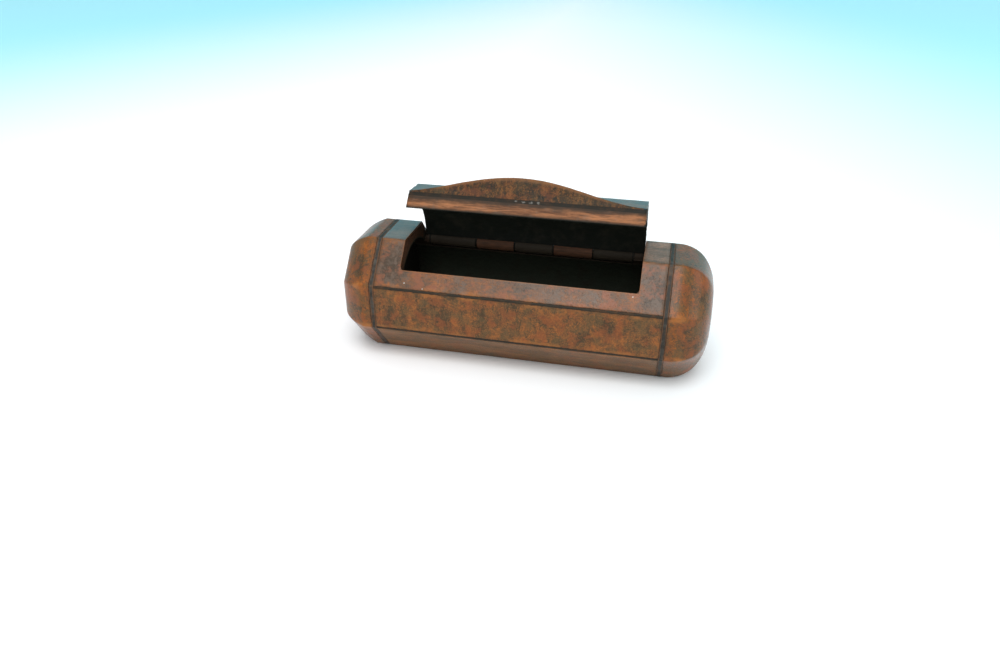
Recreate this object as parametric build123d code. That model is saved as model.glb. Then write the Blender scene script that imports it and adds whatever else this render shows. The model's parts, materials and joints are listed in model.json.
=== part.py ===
"""Antique octagonal snuff box in figured wood, with domed ends and a hinged lid cut out of its upper facets.

The frame is +X along the box, -Y to the front, where the thumb crest is, and +Z up. The origin is under the
middle of the bottom facet. The lid is drawn closed, in its place, and is then turned about the hinge pin to
the angle at which it stands open. Lengths are millimetres and angles are degrees.
"""

import os
from math import cos, hypot, pi, radians, sin, sqrt

from build123d import *

# Eight-sided body
body_width = 30.8  # across the front and rear facets
body_height = 31.0  # across the top and bottom facets
top_facet = 13.4  # width of the top and bottom facets
side_facet = 11.5  # height of the front and rear facets
body_length = 70.8  # between the two dark bands
bore_radius = 12.4  # the round hollow bored through the carcase
panel_thickness = 0.7  # sawn panels glued on the carcase's facets
string_width = 0.35  # how far the dark stringing shows on each side of an arris
band_width = 1.2

# Domed end caps
cap_length = 10.4
cap_shoulder_radius = 7.4  # where each facet turns in towards the end
cap_end_radius = 31.0  # the flatter curve across the end
cap_flat = 0.05  # the domed facets stop this far short of meeting, on a small flat
spigot_length = 4.2
spigot_clearance = 0.05

# Lid
aperture_length = 58.6
aperture_front = 7.9  # from the top facet's front arris down the front slope to the lid's edge
aperture_corner = 0.9  # radius of the opening's two front corners
front_cut_lean = 8.0  # the front cut leans back this far from the vertical as it goes into the wood
lid_gap = 0.2
open_angle = 51.0  # how far the lid stands open

# Hinge worked from the solid wood
knuckle_radius = 1.8
hinge_drop = 7.0  # from the top facet's rear arris down the rear slope to the pin
hinge_depth = 1.27  # from the rear slope in to the pin
hinge_clearance = 0.3  # between the barrel and the cove it turns in
knuckle_gap = 0.2  # between neighbouring knuckles
hinge_start = -28.0  # left end of the first knuckle
first_knuckle = 12.8
later_knuckle = 10.4
knuckle_count = 5
web_length = 2.5  # how far a knuckle's root runs into the wood beside the cove
web_depth = 0.9  # the root ends this far inside the pin's axis and leaves a lip under the barrel
pin_radius = 0.5
pin_clearance = 0.05
pin_blind_end = 1.9  # how far the pin's hole runs into the wood past the opening's left end
pin_end_recess = 0.3  # the pin stops this far short of its hole at both ends

# Thumb crest along the lid's front edge
crest_height = 5.9
crest_peak = -1.5  # where the crest is highest
crest_margin = 0.9  # from the lid's ends to the crest's ends
crest_end_height = 0.35
crest_left_power = 0.62  # the left side swells full and straight
crest_right_power = 0.8  # the right side sweeps down in an ogee
crest_tip = 1.1  # thickness of the rounded top edge
crest_tip_share = 0.2  # the top edge's radius never passes this share of the height
crest_root_share = 0.72  # how far the back spreads over the lid, as a share of the height
crest_hollow = 0.16  # how deeply the back is scooped, as a share of its chord
crest_sections = 21
lid_string_width = 0.8  # dark line let into the lid's edge under the crest

outside = 20.0  # cutters run this far past the wood
inside = 6.0  # cutters run this far from the surface into the hollow

# Corners of the section in (y, z), from the top facet's rear arris over the top, down the front and round
half_width = body_width / 2
half_top = top_facet / 2
side_low = (body_height - side_facet) / 2
side_high = (body_height + side_facet) / 2
corners = [
    (half_top, body_height),
    (-half_top, body_height),
    (-half_width, side_high),
    (-half_width, side_low),
    (-half_top, 0.0),
    (half_top, 0.0),
    (half_width, side_low),
    (half_width, side_high),
]
TOP, FRONT_UPPER, FRONT, FRONT_LOWER, BOTTOM, REAR_LOWER, REAR, REAR_UPPER = range(len(corners))
strung_corners = {2: "front_upper", 3: "front_lower", 6: "rear_lower", 7: "rear_upper"}
body_centre = (0.0, body_height / 2)

# Stations along the box
panel_end = body_length / 2
cap_start = panel_end + band_width
aperture_end = aperture_length / 2
lid_end = aperture_end - lid_gap
crest_end = lid_end - crest_margin


# Plane geometry in (y, z)


def along(point, direction, distance):
    """The point that far from another in a direction."""
    return (point[0] + direction[0] * distance, point[1] + direction[1] * distance)


def between(start, end, share):
    """The point that share of the way from one point to another."""
    return (start[0] + (end[0] - start[0]) * share, start[1] + (end[1] - start[1]) * share)


def unit(start, end):
    """Unit direction from one point to another."""
    length = hypot(end[0] - start[0], end[1] - start[1])
    return ((end[0] - start[0]) / length, (end[1] - start[1]) / length)


def left_of(direction):
    """The direction turned a quarter turn to the left: into the wood, for a facet's direction."""
    return (-direction[1], direction[0])


def facet_direction(facet):
    """Unit direction along a facet, from its own corner to the next."""
    return unit(corners[facet], corners[(facet + 1) % len(corners)])


def facet_inward(facet):
    """Unit normal of a facet, pointing into the wood."""
    return left_of(facet_direction(facet))


def inset_corner(corner, inset):
    """Where the two facets at a corner meet after both have moved into the wood."""
    before = facet_inward(corner - 1)
    after = facet_inward(corner)
    spread = 1 + before[0] * after[0] + before[1] * after[1]
    return along(corners[corner], (before[0] + after[0], before[1] + after[1]), inset / spread)


# The hinge pin's place, and the lid's front cut
rear_down = (-facet_direction(REAR_UPPER)[0], -facet_direction(REAR_UPPER)[1])
rear_inward = facet_inward(REAR_UPPER)
hinge = along(along(corners[TOP], rear_down, hinge_drop), rear_inward, hinge_depth)
hinge_end = hinge_start + first_knuckle + (knuckle_count - 1) * later_knuckle
cove_radius = knuckle_radius + hinge_clearance

front_down = facet_direction(FRONT_UPPER)
front_inward = facet_inward(FRONT_UPPER)
cut_inward = (sin(radians(front_cut_lean)), -cos(radians(front_cut_lean)))
cut_rearward = left_of(cut_inward)
cut_across_slope = front_down[0] * cut_inward[1] - front_down[1] * cut_inward[0]
box_edge = along(corners[FRONT_UPPER], front_down, aperture_front)


def behind_cut(distance):
    """The point on the front slope that lies that far behind the box's front cut."""
    return along(box_edge, front_down, -distance / abs(cut_across_slope))


# Solids along X


def prism(points, start, end):
    """A straight prism along X over a closed outline."""
    outline = Polyline(*[(start, y, z) for y, z in points], close=True)
    return extrude(make_face(outline), amount=end - start, dir=(1, 0, 0))


def rod(centre, radius, start, end):
    """A round rod along X."""
    return extrude(Plane((start, *centre), z_dir=(1, 0, 0)) * Circle(radius), amount=end - start)


def inset_octagon(inset):
    """The body's section moved into the wood by an inset."""
    return [inset_corner(corner, inset) for corner in range(len(corners))]


def knuckle_spans(of_lid):
    """Start and end of each knuckle of the lid, or of the box."""
    edges = [hinge_start] + [
        hinge_start + first_knuckle + later_knuckle * index for index in range(knuckle_count)
    ]
    spans = [(edges[index], edges[index + 1]) for index in range(knuckle_count)]
    return [
        (start + knuckle_gap / 2, end - knuckle_gap / 2)
        for index, (start, end) in enumerate(spans)
        if (index % 2 == 0) == of_lid
    ]


def knuckle(start, end, of_lid):
    """One knuckle of the barrel with the root that joins it to its own side's wood."""
    side = -1 if of_lid else 1
    surface = along(hinge, rear_inward, panel_thickness - hinge_depth)
    root = along(hinge, rear_inward, web_depth)
    web = prism(
        [surface, along(surface, rear_down, side * web_length), along(root, rear_down, side * web_length), root],
        start,
        end,
    )
    return rod(hinge, knuckle_radius, start, end) + web


def barrel_room(of_lid, start, end):
    """What a panel beside the hinge leaves free: close round its own knuckles, wider for the other side's."""
    room = rod(hinge, cove_radius, start, end)
    for first, last in knuckle_spans(of_lid):
        sleeve = rod(hinge, cove_radius, first, last) - rod(hinge, knuckle_radius, first, last)
        room -= sleeve
    return room


def opening_wedge(start_edge, end, corner_radius):
    """Everything above the opening, from the front cut through a point on the front slope to the hinge."""
    outline = [
        along(start_edge, cut_inward, -outside),
        along(start_edge, cut_inward, inside),
        hinge,
        along(hinge, rear_inward, -outside),
    ]
    wedge = prism(outline, -end, end)
    front_corners = [
        edge
        for edge in wedge.edges()
        if abs(edge.center().X) > end - lid_gap / 2
        and abs(edge.center().Y - between(outline[0], outline[1], 0.5)[0]) < lid_gap
    ]
    return fillet(front_corners, corner_radius)


def box_opening():
    """The wood taken out of the box for the lid, with the two blocks left standing beside the barrel."""
    wedge = opening_wedge(box_edge, aperture_end, aperture_corner)
    for start, end in ((-aperture_end, hinge_start), (hinge_end, aperture_end)):
        wedge -= rod(hinge, knuckle_radius, start, end)
    return wedge


def lid_volume():
    """All that belongs to the lid, without its knuckles."""
    wedge = opening_wedge(behind_cut(lid_gap), lid_end, aperture_corner - lid_gap)
    return wedge - rod(hinge, cove_radius, -aperture_end, aperture_end)


def pin_hole():
    """The blind hole for the hinge pin, drilled in from the carcase's right end."""
    return rod(hinge, pin_radius + pin_clearance, -aperture_end - pin_blind_end, panel_end)


def tube():
    """The carcase's plain tube: eight-sided outside, round inside."""
    return prism(inset_octagon(panel_thickness), -panel_end, panel_end) - rod(
        body_centre, bore_radius, -panel_end, panel_end
    )


def panel_edge(facet, corner):
    """Outer and inner points where a facet's panel ends: square against stringing, mitred elsewhere."""
    if corner not in strung_corners:
        return corners[corner], inset_corner(corner, panel_thickness)
    away = 1 if corner == facet else -1
    outer = along(corners[corner], facet_direction(facet), away * string_width)
    return outer, along(outer, facet_inward(facet), panel_thickness)


def panel(facet, start=-panel_end, end=panel_end):
    """The panel on a facet."""
    first_outer, first_inner = panel_edge(facet, facet)
    last_outer, last_inner = panel_edge(facet, (facet + 1) % len(corners))
    return prism([first_outer, last_outer, last_inner, first_inner], start, end)


# Sub-parts of the box


def carcase():
    """The bored tube with its opening, its cove and the box's two knuckles."""
    body = tube() - box_opening() - rod(hinge, cove_radius, hinge_start, hinge_end)
    for start, end in knuckle_spans(of_lid=False):
        body += knuckle(start, end, of_lid=False)
    return body - pin_hole()


def upper_front_panel():
    """The front slope's panel, notched for the lid."""
    return panel(FRONT_UPPER) - box_opening()


def upper_rear_panel():
    """The rear slope's panel, notched for the lid and scooped for the barrel."""
    return panel(REAR_UPPER) - box_opening() - barrel_room(False, hinge_start, hinge_end)


def stringing(corner):
    """A dark string let in along an arris, as thick as the panels on both sides."""
    before_outer, before_inner = panel_edge((corner - 1) % len(corners), corner)
    after_outer, after_inner = panel_edge(corner, corner)
    inner = inset_corner(corner, panel_thickness)
    return prism(
        [before_outer, corners[corner], after_outer, after_inner, inner, before_inner], -panel_end, panel_end
    )


def band(side):
    """A dark ring between the carcase and a cap."""
    start, end = sorted((side * panel_end, side * cap_start))
    return prism(corners, start, end) - rod(body_centre, bore_radius, start, end)


def dome_gore(facet, side):
    """One pair of opposite facets run out to the end in a straight, a shoulder arc and a flatter end arc."""
    half = _dot(facet_inward(facet), (body_centre[0] - corners[facet][0], body_centre[1] - corners[facet][1]))
    shoulder = half - cap_shoulder_radius
    end_centre = cap_length - cap_end_radius
    straight = end_centre + sqrt((cap_end_radius - cap_shoulder_radius) ** 2 - shoulder ** 2)
    join = unit((end_centre, 0.0), (straight, shoulder))
    middle = unit((0.0, 0.0), (join[0], join[1] + 1))
    flat = sqrt(cap_end_radius ** 2 - (cap_length - cap_flat - end_centre) ** 2)
    meeting = along((straight, shoulder), join, cap_shoulder_radius)
    crown = between(meeting, (cap_length - cap_flat, flat), 0.5)
    crown = along((end_centre, 0.0), unit((end_centre, 0.0), crown), cap_end_radius)
    upper = [
        (0.0, half),
        (straight, half),
        along((straight, shoulder), middle, cap_shoulder_radius),
        meeting,
        crown,
        (cap_length - cap_flat, flat),
    ]
    plane = Plane(
        (side * cap_start, *body_centre), x_dir=(side, 0, 0), z_dir=(0, *facet_direction(facet))
    )
    lower = [(station, -height) for station, height in upper]
    outline = [
        Line(upper[0], upper[1]),
        ThreePointArc(upper[1], upper[2], upper[3]),
        ThreePointArc(upper[3], upper[4], upper[5]),
        Line(upper[5], lower[5]),
        ThreePointArc(lower[5], lower[4], lower[3]),
        ThreePointArc(lower[3], lower[2], lower[1]),
        Line(lower[1], lower[0]),
        Line(lower[0], upper[0]),
    ]
    return extrude(plane * make_face(outline), amount=body_height, both=True)


def _dot(first, second):
    """Scalar product of two directions."""
    return first[0] * second[0] + first[1] * second[1]


def cap(side):
    """A domed end where the eight facets meet in mitres, with its spigot in the bore."""
    dome = dome_gore(TOP, side)
    for facet in (FRONT_UPPER, FRONT, FRONT_LOWER):
        dome &= dome_gore(facet, side)
    start, end = sorted((side * (cap_start - spigot_length), side * (cap_start + cap_flat)))
    return dome + rod(body_centre, bore_radius - spigot_clearance, start, end)


def hinge_pin():
    """The wire that the barrel turns on."""
    start = -aperture_end - pin_blind_end + pin_end_recess
    return rod(hinge, pin_radius, start, panel_end - pin_end_recess)


# Sub-parts of the lid, drawn closed


def lid_core():
    """The lid's own piece of the tube with its three knuckles."""
    core = tube() & lid_volume()
    for start, end in knuckle_spans(of_lid=True):
        core += knuckle(start, end, of_lid=True)
    return core - pin_hole()


def string_zone():
    """The strip along the lid's front cut that the dark string is let into."""
    front = behind_cut(-lid_gap)
    rear = behind_cut(lid_gap + lid_string_width)
    return prism(
        [
            along(front, cut_inward, -outside),
            along(front, cut_inward, inside),
            along(rear, cut_inward, inside),
            along(rear, cut_inward, -outside),
        ],
        -aperture_end,
        aperture_end,
    )


def lid_front_panel():
    """The panel on the lid's piece of the front slope, behind the string."""
    return (panel(FRONT_UPPER) & lid_volume()) - string_zone()


def lid_string():
    """The dark string along the lid's front edge."""
    return panel(FRONT_UPPER) & lid_volume() & string_zone()


def lid_top_panel():
    """The panel on the lid's flat top."""
    return panel(TOP) & lid_volume()


def lid_rear_panel():
    """The panel on the lid's piece of the rear slope, scooped for the barrel."""
    wedge = opening_wedge(behind_cut(lid_gap), lid_end, aperture_corner - lid_gap)
    return (panel(REAR_UPPER) & wedge) - barrel_room(True, -aperture_end, aperture_end)


def crest_rise(station):
    """Height of the thumb crest at a station along the lid."""
    offset = station - crest_peak
    run = crest_end - crest_peak if offset > 0 else crest_end + crest_peak
    power = crest_right_power if offset > 0 else crest_left_power
    swell = (1 + cos(pi * min(abs(offset) / run, 1.0))) / 2
    return crest_end_height + (crest_height - crest_end_height) * swell ** power


def crest_section(station):
    """The crest's section: a face in line with the lid's front cut, a rounded tip and a scooped back."""
    height = crest_rise(station)
    tip = min(crest_tip / 2, crest_tip_share * height)
    foot = behind_cut(lid_gap)
    shoulder = along(foot, cut_inward, tip - height)
    top = along(along(foot, cut_inward, -height), cut_rearward, tip)
    back = along(shoulder, cut_rearward, 2 * tip)
    root = along(foot, front_down, -crest_root_share * height)
    chord = unit(back, root)
    hollow = crest_hollow * hypot(root[0] - back[0], root[1] - back[1])
    scoop = along(between(back, root, 0.5), (chord[1], -chord[0]), hollow)
    place = [(station, *point) for point in (foot, shoulder, top, back, scoop, root)]
    return Wire(
        [
            Line(place[0], place[1]),
            ThreePointArc(place[1], place[2], place[3]),
            ThreePointArc(place[3], place[4], place[5]),
            Line(place[5], place[0]),
        ]
    )


def thumb_crest():
    """The bow-shaped crest that the thumb lifts the lid by."""
    step = 2 * crest_end / (crest_sections - 1)
    return Solid.make_loft([crest_section(-crest_end + step * index) for index in range(crest_sections)], ruled=True)


def box_parts():
    """Every sub-part that stays still, by node name."""
    parts = {
        "carcase": carcase(),
        "top_left_panel": panel(TOP, -panel_end, -aperture_end),
        "top_right_panel": panel(TOP, aperture_end, panel_end),
        "upper_front_panel": upper_front_panel(),
        "front_panel": panel(FRONT),
        "lower_front_panel": panel(FRONT_LOWER),
        "bottom_panel": panel(BOTTOM),
        "lower_rear_panel": panel(REAR_LOWER),
        "rear_panel": panel(REAR),
        "upper_rear_panel": upper_rear_panel(),
        "left_band": band(-1),
        "right_band": band(1),
        "left_cap": cap(-1),
        "right_cap": cap(1),
        "hinge_pin": hinge_pin(),
    }
    for corner, name in strung_corners.items():
        parts[name + "_string"] = stringing(corner)
    return parts


def lid_parts():
    """Every sub-part of the lid, opened to its standing angle, by node name."""
    closed = {
        "lid_core": lid_core(),
        "lid_top_panel": lid_top_panel(),
        "lid_front_panel": lid_front_panel(),
        "lid_rear_panel": lid_rear_panel(),
        "lid_string": lid_string(),
        "thumb_crest": thumb_crest(),
    }
    turn = Axis((0, *hinge), (1, 0, 0))
    return {name: shape.rotate(turn, -open_angle) for name, shape in closed.items()}


def solid_of(shape):
    """The one solid in a shape."""
    solids = shape.solids()
    if len(solids) != 1:
        raise ValueError(f"{len(solids)} solids where one is meant")
    return solids[0]


if __name__ == "__main__":
    os.makedirs("parts", exist_ok=True)
    for node, shape in {**box_parts(), **lid_parts()}.items():
        solid = solid_of(shape)
        if not solid.is_valid:
            raise ValueError(f"{node} is not a valid solid")
        export_step(solid, f"parts/{node}.step")
        box = solid.bounding_box()
        print(node, round(solid.volume, 2), [round(v, 2) for v in (*box.min, *box.max)])
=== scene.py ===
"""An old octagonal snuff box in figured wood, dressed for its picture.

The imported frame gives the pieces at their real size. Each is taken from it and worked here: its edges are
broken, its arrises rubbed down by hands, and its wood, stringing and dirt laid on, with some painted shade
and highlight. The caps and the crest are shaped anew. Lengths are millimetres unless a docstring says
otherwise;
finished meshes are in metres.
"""

import json
import logging
import math
from dataclasses import dataclass, replace
from enum import Enum
from typing import Any, Callable, Optional, Sequence, Union

import bmesh
import bpy
from mathutils import Matrix, Vector, noise


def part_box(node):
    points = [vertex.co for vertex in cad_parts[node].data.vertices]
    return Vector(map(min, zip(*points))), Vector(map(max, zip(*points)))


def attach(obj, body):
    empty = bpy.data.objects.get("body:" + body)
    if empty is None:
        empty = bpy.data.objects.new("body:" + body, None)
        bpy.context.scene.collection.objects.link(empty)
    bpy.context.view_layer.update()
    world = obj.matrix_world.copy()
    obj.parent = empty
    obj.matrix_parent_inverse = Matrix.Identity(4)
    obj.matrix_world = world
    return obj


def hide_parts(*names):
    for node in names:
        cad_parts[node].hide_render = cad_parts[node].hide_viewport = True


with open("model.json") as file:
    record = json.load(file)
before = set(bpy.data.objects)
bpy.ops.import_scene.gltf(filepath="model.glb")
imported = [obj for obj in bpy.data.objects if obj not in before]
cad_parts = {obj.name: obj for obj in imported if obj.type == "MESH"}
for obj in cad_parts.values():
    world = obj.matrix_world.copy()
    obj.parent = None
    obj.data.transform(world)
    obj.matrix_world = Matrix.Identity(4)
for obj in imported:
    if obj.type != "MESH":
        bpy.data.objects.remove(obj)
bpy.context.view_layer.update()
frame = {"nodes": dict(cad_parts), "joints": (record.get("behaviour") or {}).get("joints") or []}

log = logging.getLogger("snuff_box")

MM = 0.001
UP = Vector((0.0, 0.0, 1.0))
ALONG = Vector((1.0, 0.0, 0.0))
ACROSS = Vector((0.0, 1.0, 0.0))
RUB = "rub"

Number = Union[float, "Signal"]
Triple = tuple[float, float, float]
RGB = Triple


class Body(Enum):
    """The two bodies that a piece may belong to."""

    BOX = "box"
    LID = "lid"


class Side(Enum):
    """The box's two ends, by the sign of X."""

    LEFT = -1
    RIGHT = 1


class Slot(Enum):
    """The material slots of the record."""

    BURR = "burr_wood"
    PLAIN = "plain_wood"
    CARCASE = "carcase_wood"
    INLAY = "dark_inlay"
    BRASS = "brass_wire"


def smooth(low: float, high: float, value: float) -> float:
    """A smooth step from 0 at low to 1 at high; low may be the larger."""
    share = min(max((value - low) / (high - low), 0.0), 1.0)
    return share * share * (3 - 2 * share)


def millimetres(node: str) -> tuple[Vector, Vector]:
    """The lowest and highest corner of a frame node, in millimetres."""
    low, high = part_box(node)
    return low / MM, high / MM


def link(name: str, data: bpy.types.ID) -> bpy.types.Object:
    """Makes an object of some data and puts it in the scene.

    Args:
        name: The object's name.
        data: Its mesh, light or camera.

    Returns:
        The object.
    """
    made = bpy.data.objects.new(name, data)
    bpy.context.scene.collection.objects.link(made)
    return made


def set_down(name: str, mesh: bmesh.types.BMesh, material: bpy.types.Material) -> bpy.types.Object:
    """Puts a finished mesh in the scene.

    Args:
        name: The object's name.
        mesh: The mesh, which is used up.
        material: What dresses it.

    Returns:
        The object.
    """
    data = bpy.data.meshes.new(name)
    mesh.to_mesh(data)
    mesh.free()
    data.shade_smooth()
    data.materials.append(material)
    return link(name, data)


@dataclass(frozen=True)
class BoxSizes:
    """The box's sizes in millimetres, with the lid drawn closed."""

    half_width: float
    half_top: float
    height: float
    side_half: float
    panel_end: float
    band_end: float
    cap_end: float
    spigot_end: float
    aperture_end: float
    hinge: Vector
    open_angle: float
    string_width: float = 0.35
    bore_radius: float = 12.4
    spigot_radius: float = 12.35
    aperture_front: float = 7.9
    lid_gap: float = 0.2
    front_cut_lean: float = 8.0
    knuckle_ends: tuple[float, ...] = (-28.0, -15.2, -4.8, 5.6, 16.0, 26.4)
    cove_radius: float = 2.1

    @classmethod
    def measured(cls) -> "BoxSizes":
        """Reads the sizes from the frame's pieces.

        Returns:
            The sizes, in millimetres.
        """
        front_low, front_high = millimetres("front_panel")
        band_low, band_high = millimetres("right_band")
        top_low, top_high = millimetres("top_left_panel")
        cap_low, cap_high = millimetres("right_cap")
        joint = next(j for j in frame["joints"] if j["name"] == "lid_hinge")
        return cls(
            half_width=-front_low.y,
            half_top=top_high.y,
            height=top_high.z,
            side_half=(front_high.z - front_low.z) / 2 + cls.string_width,
            panel_end=front_high.x,
            band_end=band_high.x,
            cap_end=cap_high.x,
            spigot_end=cap_low.x,
            aperture_end=-top_high.x,
            hinge=Vector(joint["pos_m"]) / MM,
            open_angle=math.radians(-joint["range_deg"][0]),
        )

    @property
    def middle(self) -> float:
        """Height of the box's long axis."""
        return self.height / 2

    @property
    def corners(self) -> list[tuple[float, float]]:
        """The section's eight corners about the long axis, as (across, up from the axis)."""
        quarter = [(self.half_top, self.middle), (self.half_width, self.side_half)]
        return [(a * side, b * up) for a, b in quarter for side in (-1, 1) for up in (-1, 1)]

    @property
    def slope_down(self) -> Vector:
        """Unit direction down the front slope."""
        return Vector((0.0, self.half_top - self.half_width, self.side_half - self.middle)).normalized()

    @property
    def slope_out(self) -> Vector:
        """Unit normal of the front slope, outwards."""
        down = self.slope_down
        return Vector((0.0, down.z, -down.y))

    @property
    def box_edge(self) -> Vector:
        """Where the opening's front cut meets the front slope."""
        return Vector((0.0, -self.half_top, self.height)) + self.slope_down * self.aperture_front

    @property
    def cut_inward(self) -> Vector:
        """Unit direction of the front cut, into the wood."""
        lean = math.radians(self.front_cut_lean)
        return Vector((0.0, math.sin(lean), -math.cos(lean)))

    @property
    def cut_rearward(self) -> Vector:
        """Unit normal of the front cut, towards the lid."""
        inward = self.cut_inward
        return Vector((0.0, -inward.z, inward.y))

    @property
    def facets(self) -> list[tuple[float, float]]:
        """The section's eight facets.

        Returns:
            Each facet's outward angle and its distance from the long axis.
        """
        slope = self.slope_out
        slope_angle = math.atan2(slope.z, -slope.y)
        corner = Vector((0.0, -self.half_top, self.middle))
        slope_distance = corner.dot(slope)
        quarter = [(0.0, self.half_width), (slope_angle, slope_distance), (math.pi / 2, self.middle)]
        upper = quarter + [(math.pi - slope_angle, slope_distance), (math.pi, self.half_width)]
        return upper + [(-angle, distance) for angle, distance in upper[1:4]]

    def behind_cut(self, distance: float) -> Vector:
        """The point on the front slope that far behind the box's front cut."""
        across = abs(self.slope_down.dot(self.cut_rearward))
        return self.box_edge - self.slope_down * (distance / across)

    @property
    def lid_end(self) -> float:
        """How far the lid reaches from the middle."""
        return self.aperture_end - self.lid_gap

    @property
    def lid_edge(self) -> Vector:
        """Where the lid's front cut meets the front slope."""
        return self.behind_cut(self.lid_gap)

    def inset(self, point: Vector) -> float:
        """How deep a point lies under the nearest facet."""
        across, up = -point.y, point.z - self.middle
        return min(d - across * math.cos(a) - up * math.sin(a) for a, d in self.facets)

    def to_arris(self, point: Vector) -> float:
        """Distance of a point from the nearest of the section's corners."""
        return min(math.hypot(point.y - a, point.z - self.middle - b) for a, b in self.corners)

    def opening(self) -> Matrix:
        """The turn, in millimetres, from the closed lid to the lid as it stands open."""
        about = Matrix.Translation(self.hinge)
        return about @ Matrix.Rotation(-self.open_angle, 4, "X") @ about.inverted()


@dataclass(frozen=True)
class Knock:
    """One old bruise or chip in the wood."""

    place: Vector
    radius: float
    depth: float


@dataclass(frozen=True)
class HandWear:
    """What a century of hands takes off: arrises rubbed down, flats gone hollow, a few knocks.

    The waves are per millimetre. Wear fades out below the skin, near the hinge and at the foot, between
    the two distances given for each.
    """

    sizes: BoxSizes
    hollow: float = 0.06
    hollow_waves: float = 0.09
    ripple: float = 0.025
    ripple_waves: float = 0.45
    arris_loss: float = 0.08
    arris_reach: float = 0.9
    arris_waves: float = 0.3
    skin: tuple[float, float] = (0.8, 2.4)
    from_hinge: tuple[float, float] = (2.3, 4.2)
    from_foot: tuple[float, float] = (0.05, 2.5)
    dome_depth: float = 6.0
    knocks: tuple[Knock, ...] = ()

    @staticmethod
    def chance(point: Vector) -> float:
        """Smooth noise at a point, from 0 to 1."""
        return 0.5 + 0.5 * noise.noise(point)

    def depth(self, point: Vector) -> float:
        """How far the surface is worn in at a point of the closed box.

        Args:
            point: The point, in millimetres.

        Returns:
            The loss in millimetres, never below zero.
        """
        sizes = self.sizes
        skin = 1 - smooth(*self.skin, sizes.inset(point))
        if skin <= 0:
            return 0.0
        loss = self.hollow * self.chance(point * self.hollow_waves)
        loss += self.ripple * self.chance(point * self.ripple_waves + Vector((31.0, 7.0, 3.0)))
        rub = math.exp(-((sizes.to_arris(point) / self.arris_reach) ** 2))
        loss += self.arris_loss * rub * (0.35 + 0.65 * self.chance(point * self.arris_waves))
        for knock in self.knocks:
            loss += knock.depth * (1 - smooth(0.0, knock.radius, (point - knock.place).length))
        barrel = math.hypot(point.y - sizes.hinge.y, point.z - sizes.hinge.z)
        return loss * skin * smooth(*self.from_hinge, barrel) * smooth(*self.from_foot, point.z)

    def worn(self, point: Vector) -> Vector:
        """Wears a point: towards the long axis, and on a cap towards the middle of its dome.

        Args:
            point: The point of the closed box, in millimetres.

        Returns:
            Where it lies once worn.
        """
        sizes = self.sizes
        along = point.x
        if abs(along) > sizes.band_end:
            along = math.copysign(sizes.band_end - self.dome_depth, along)
        inward = (Vector((along, 0.0, sizes.middle)) - point).normalized()
        return point + inward * self.depth(point)


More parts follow.
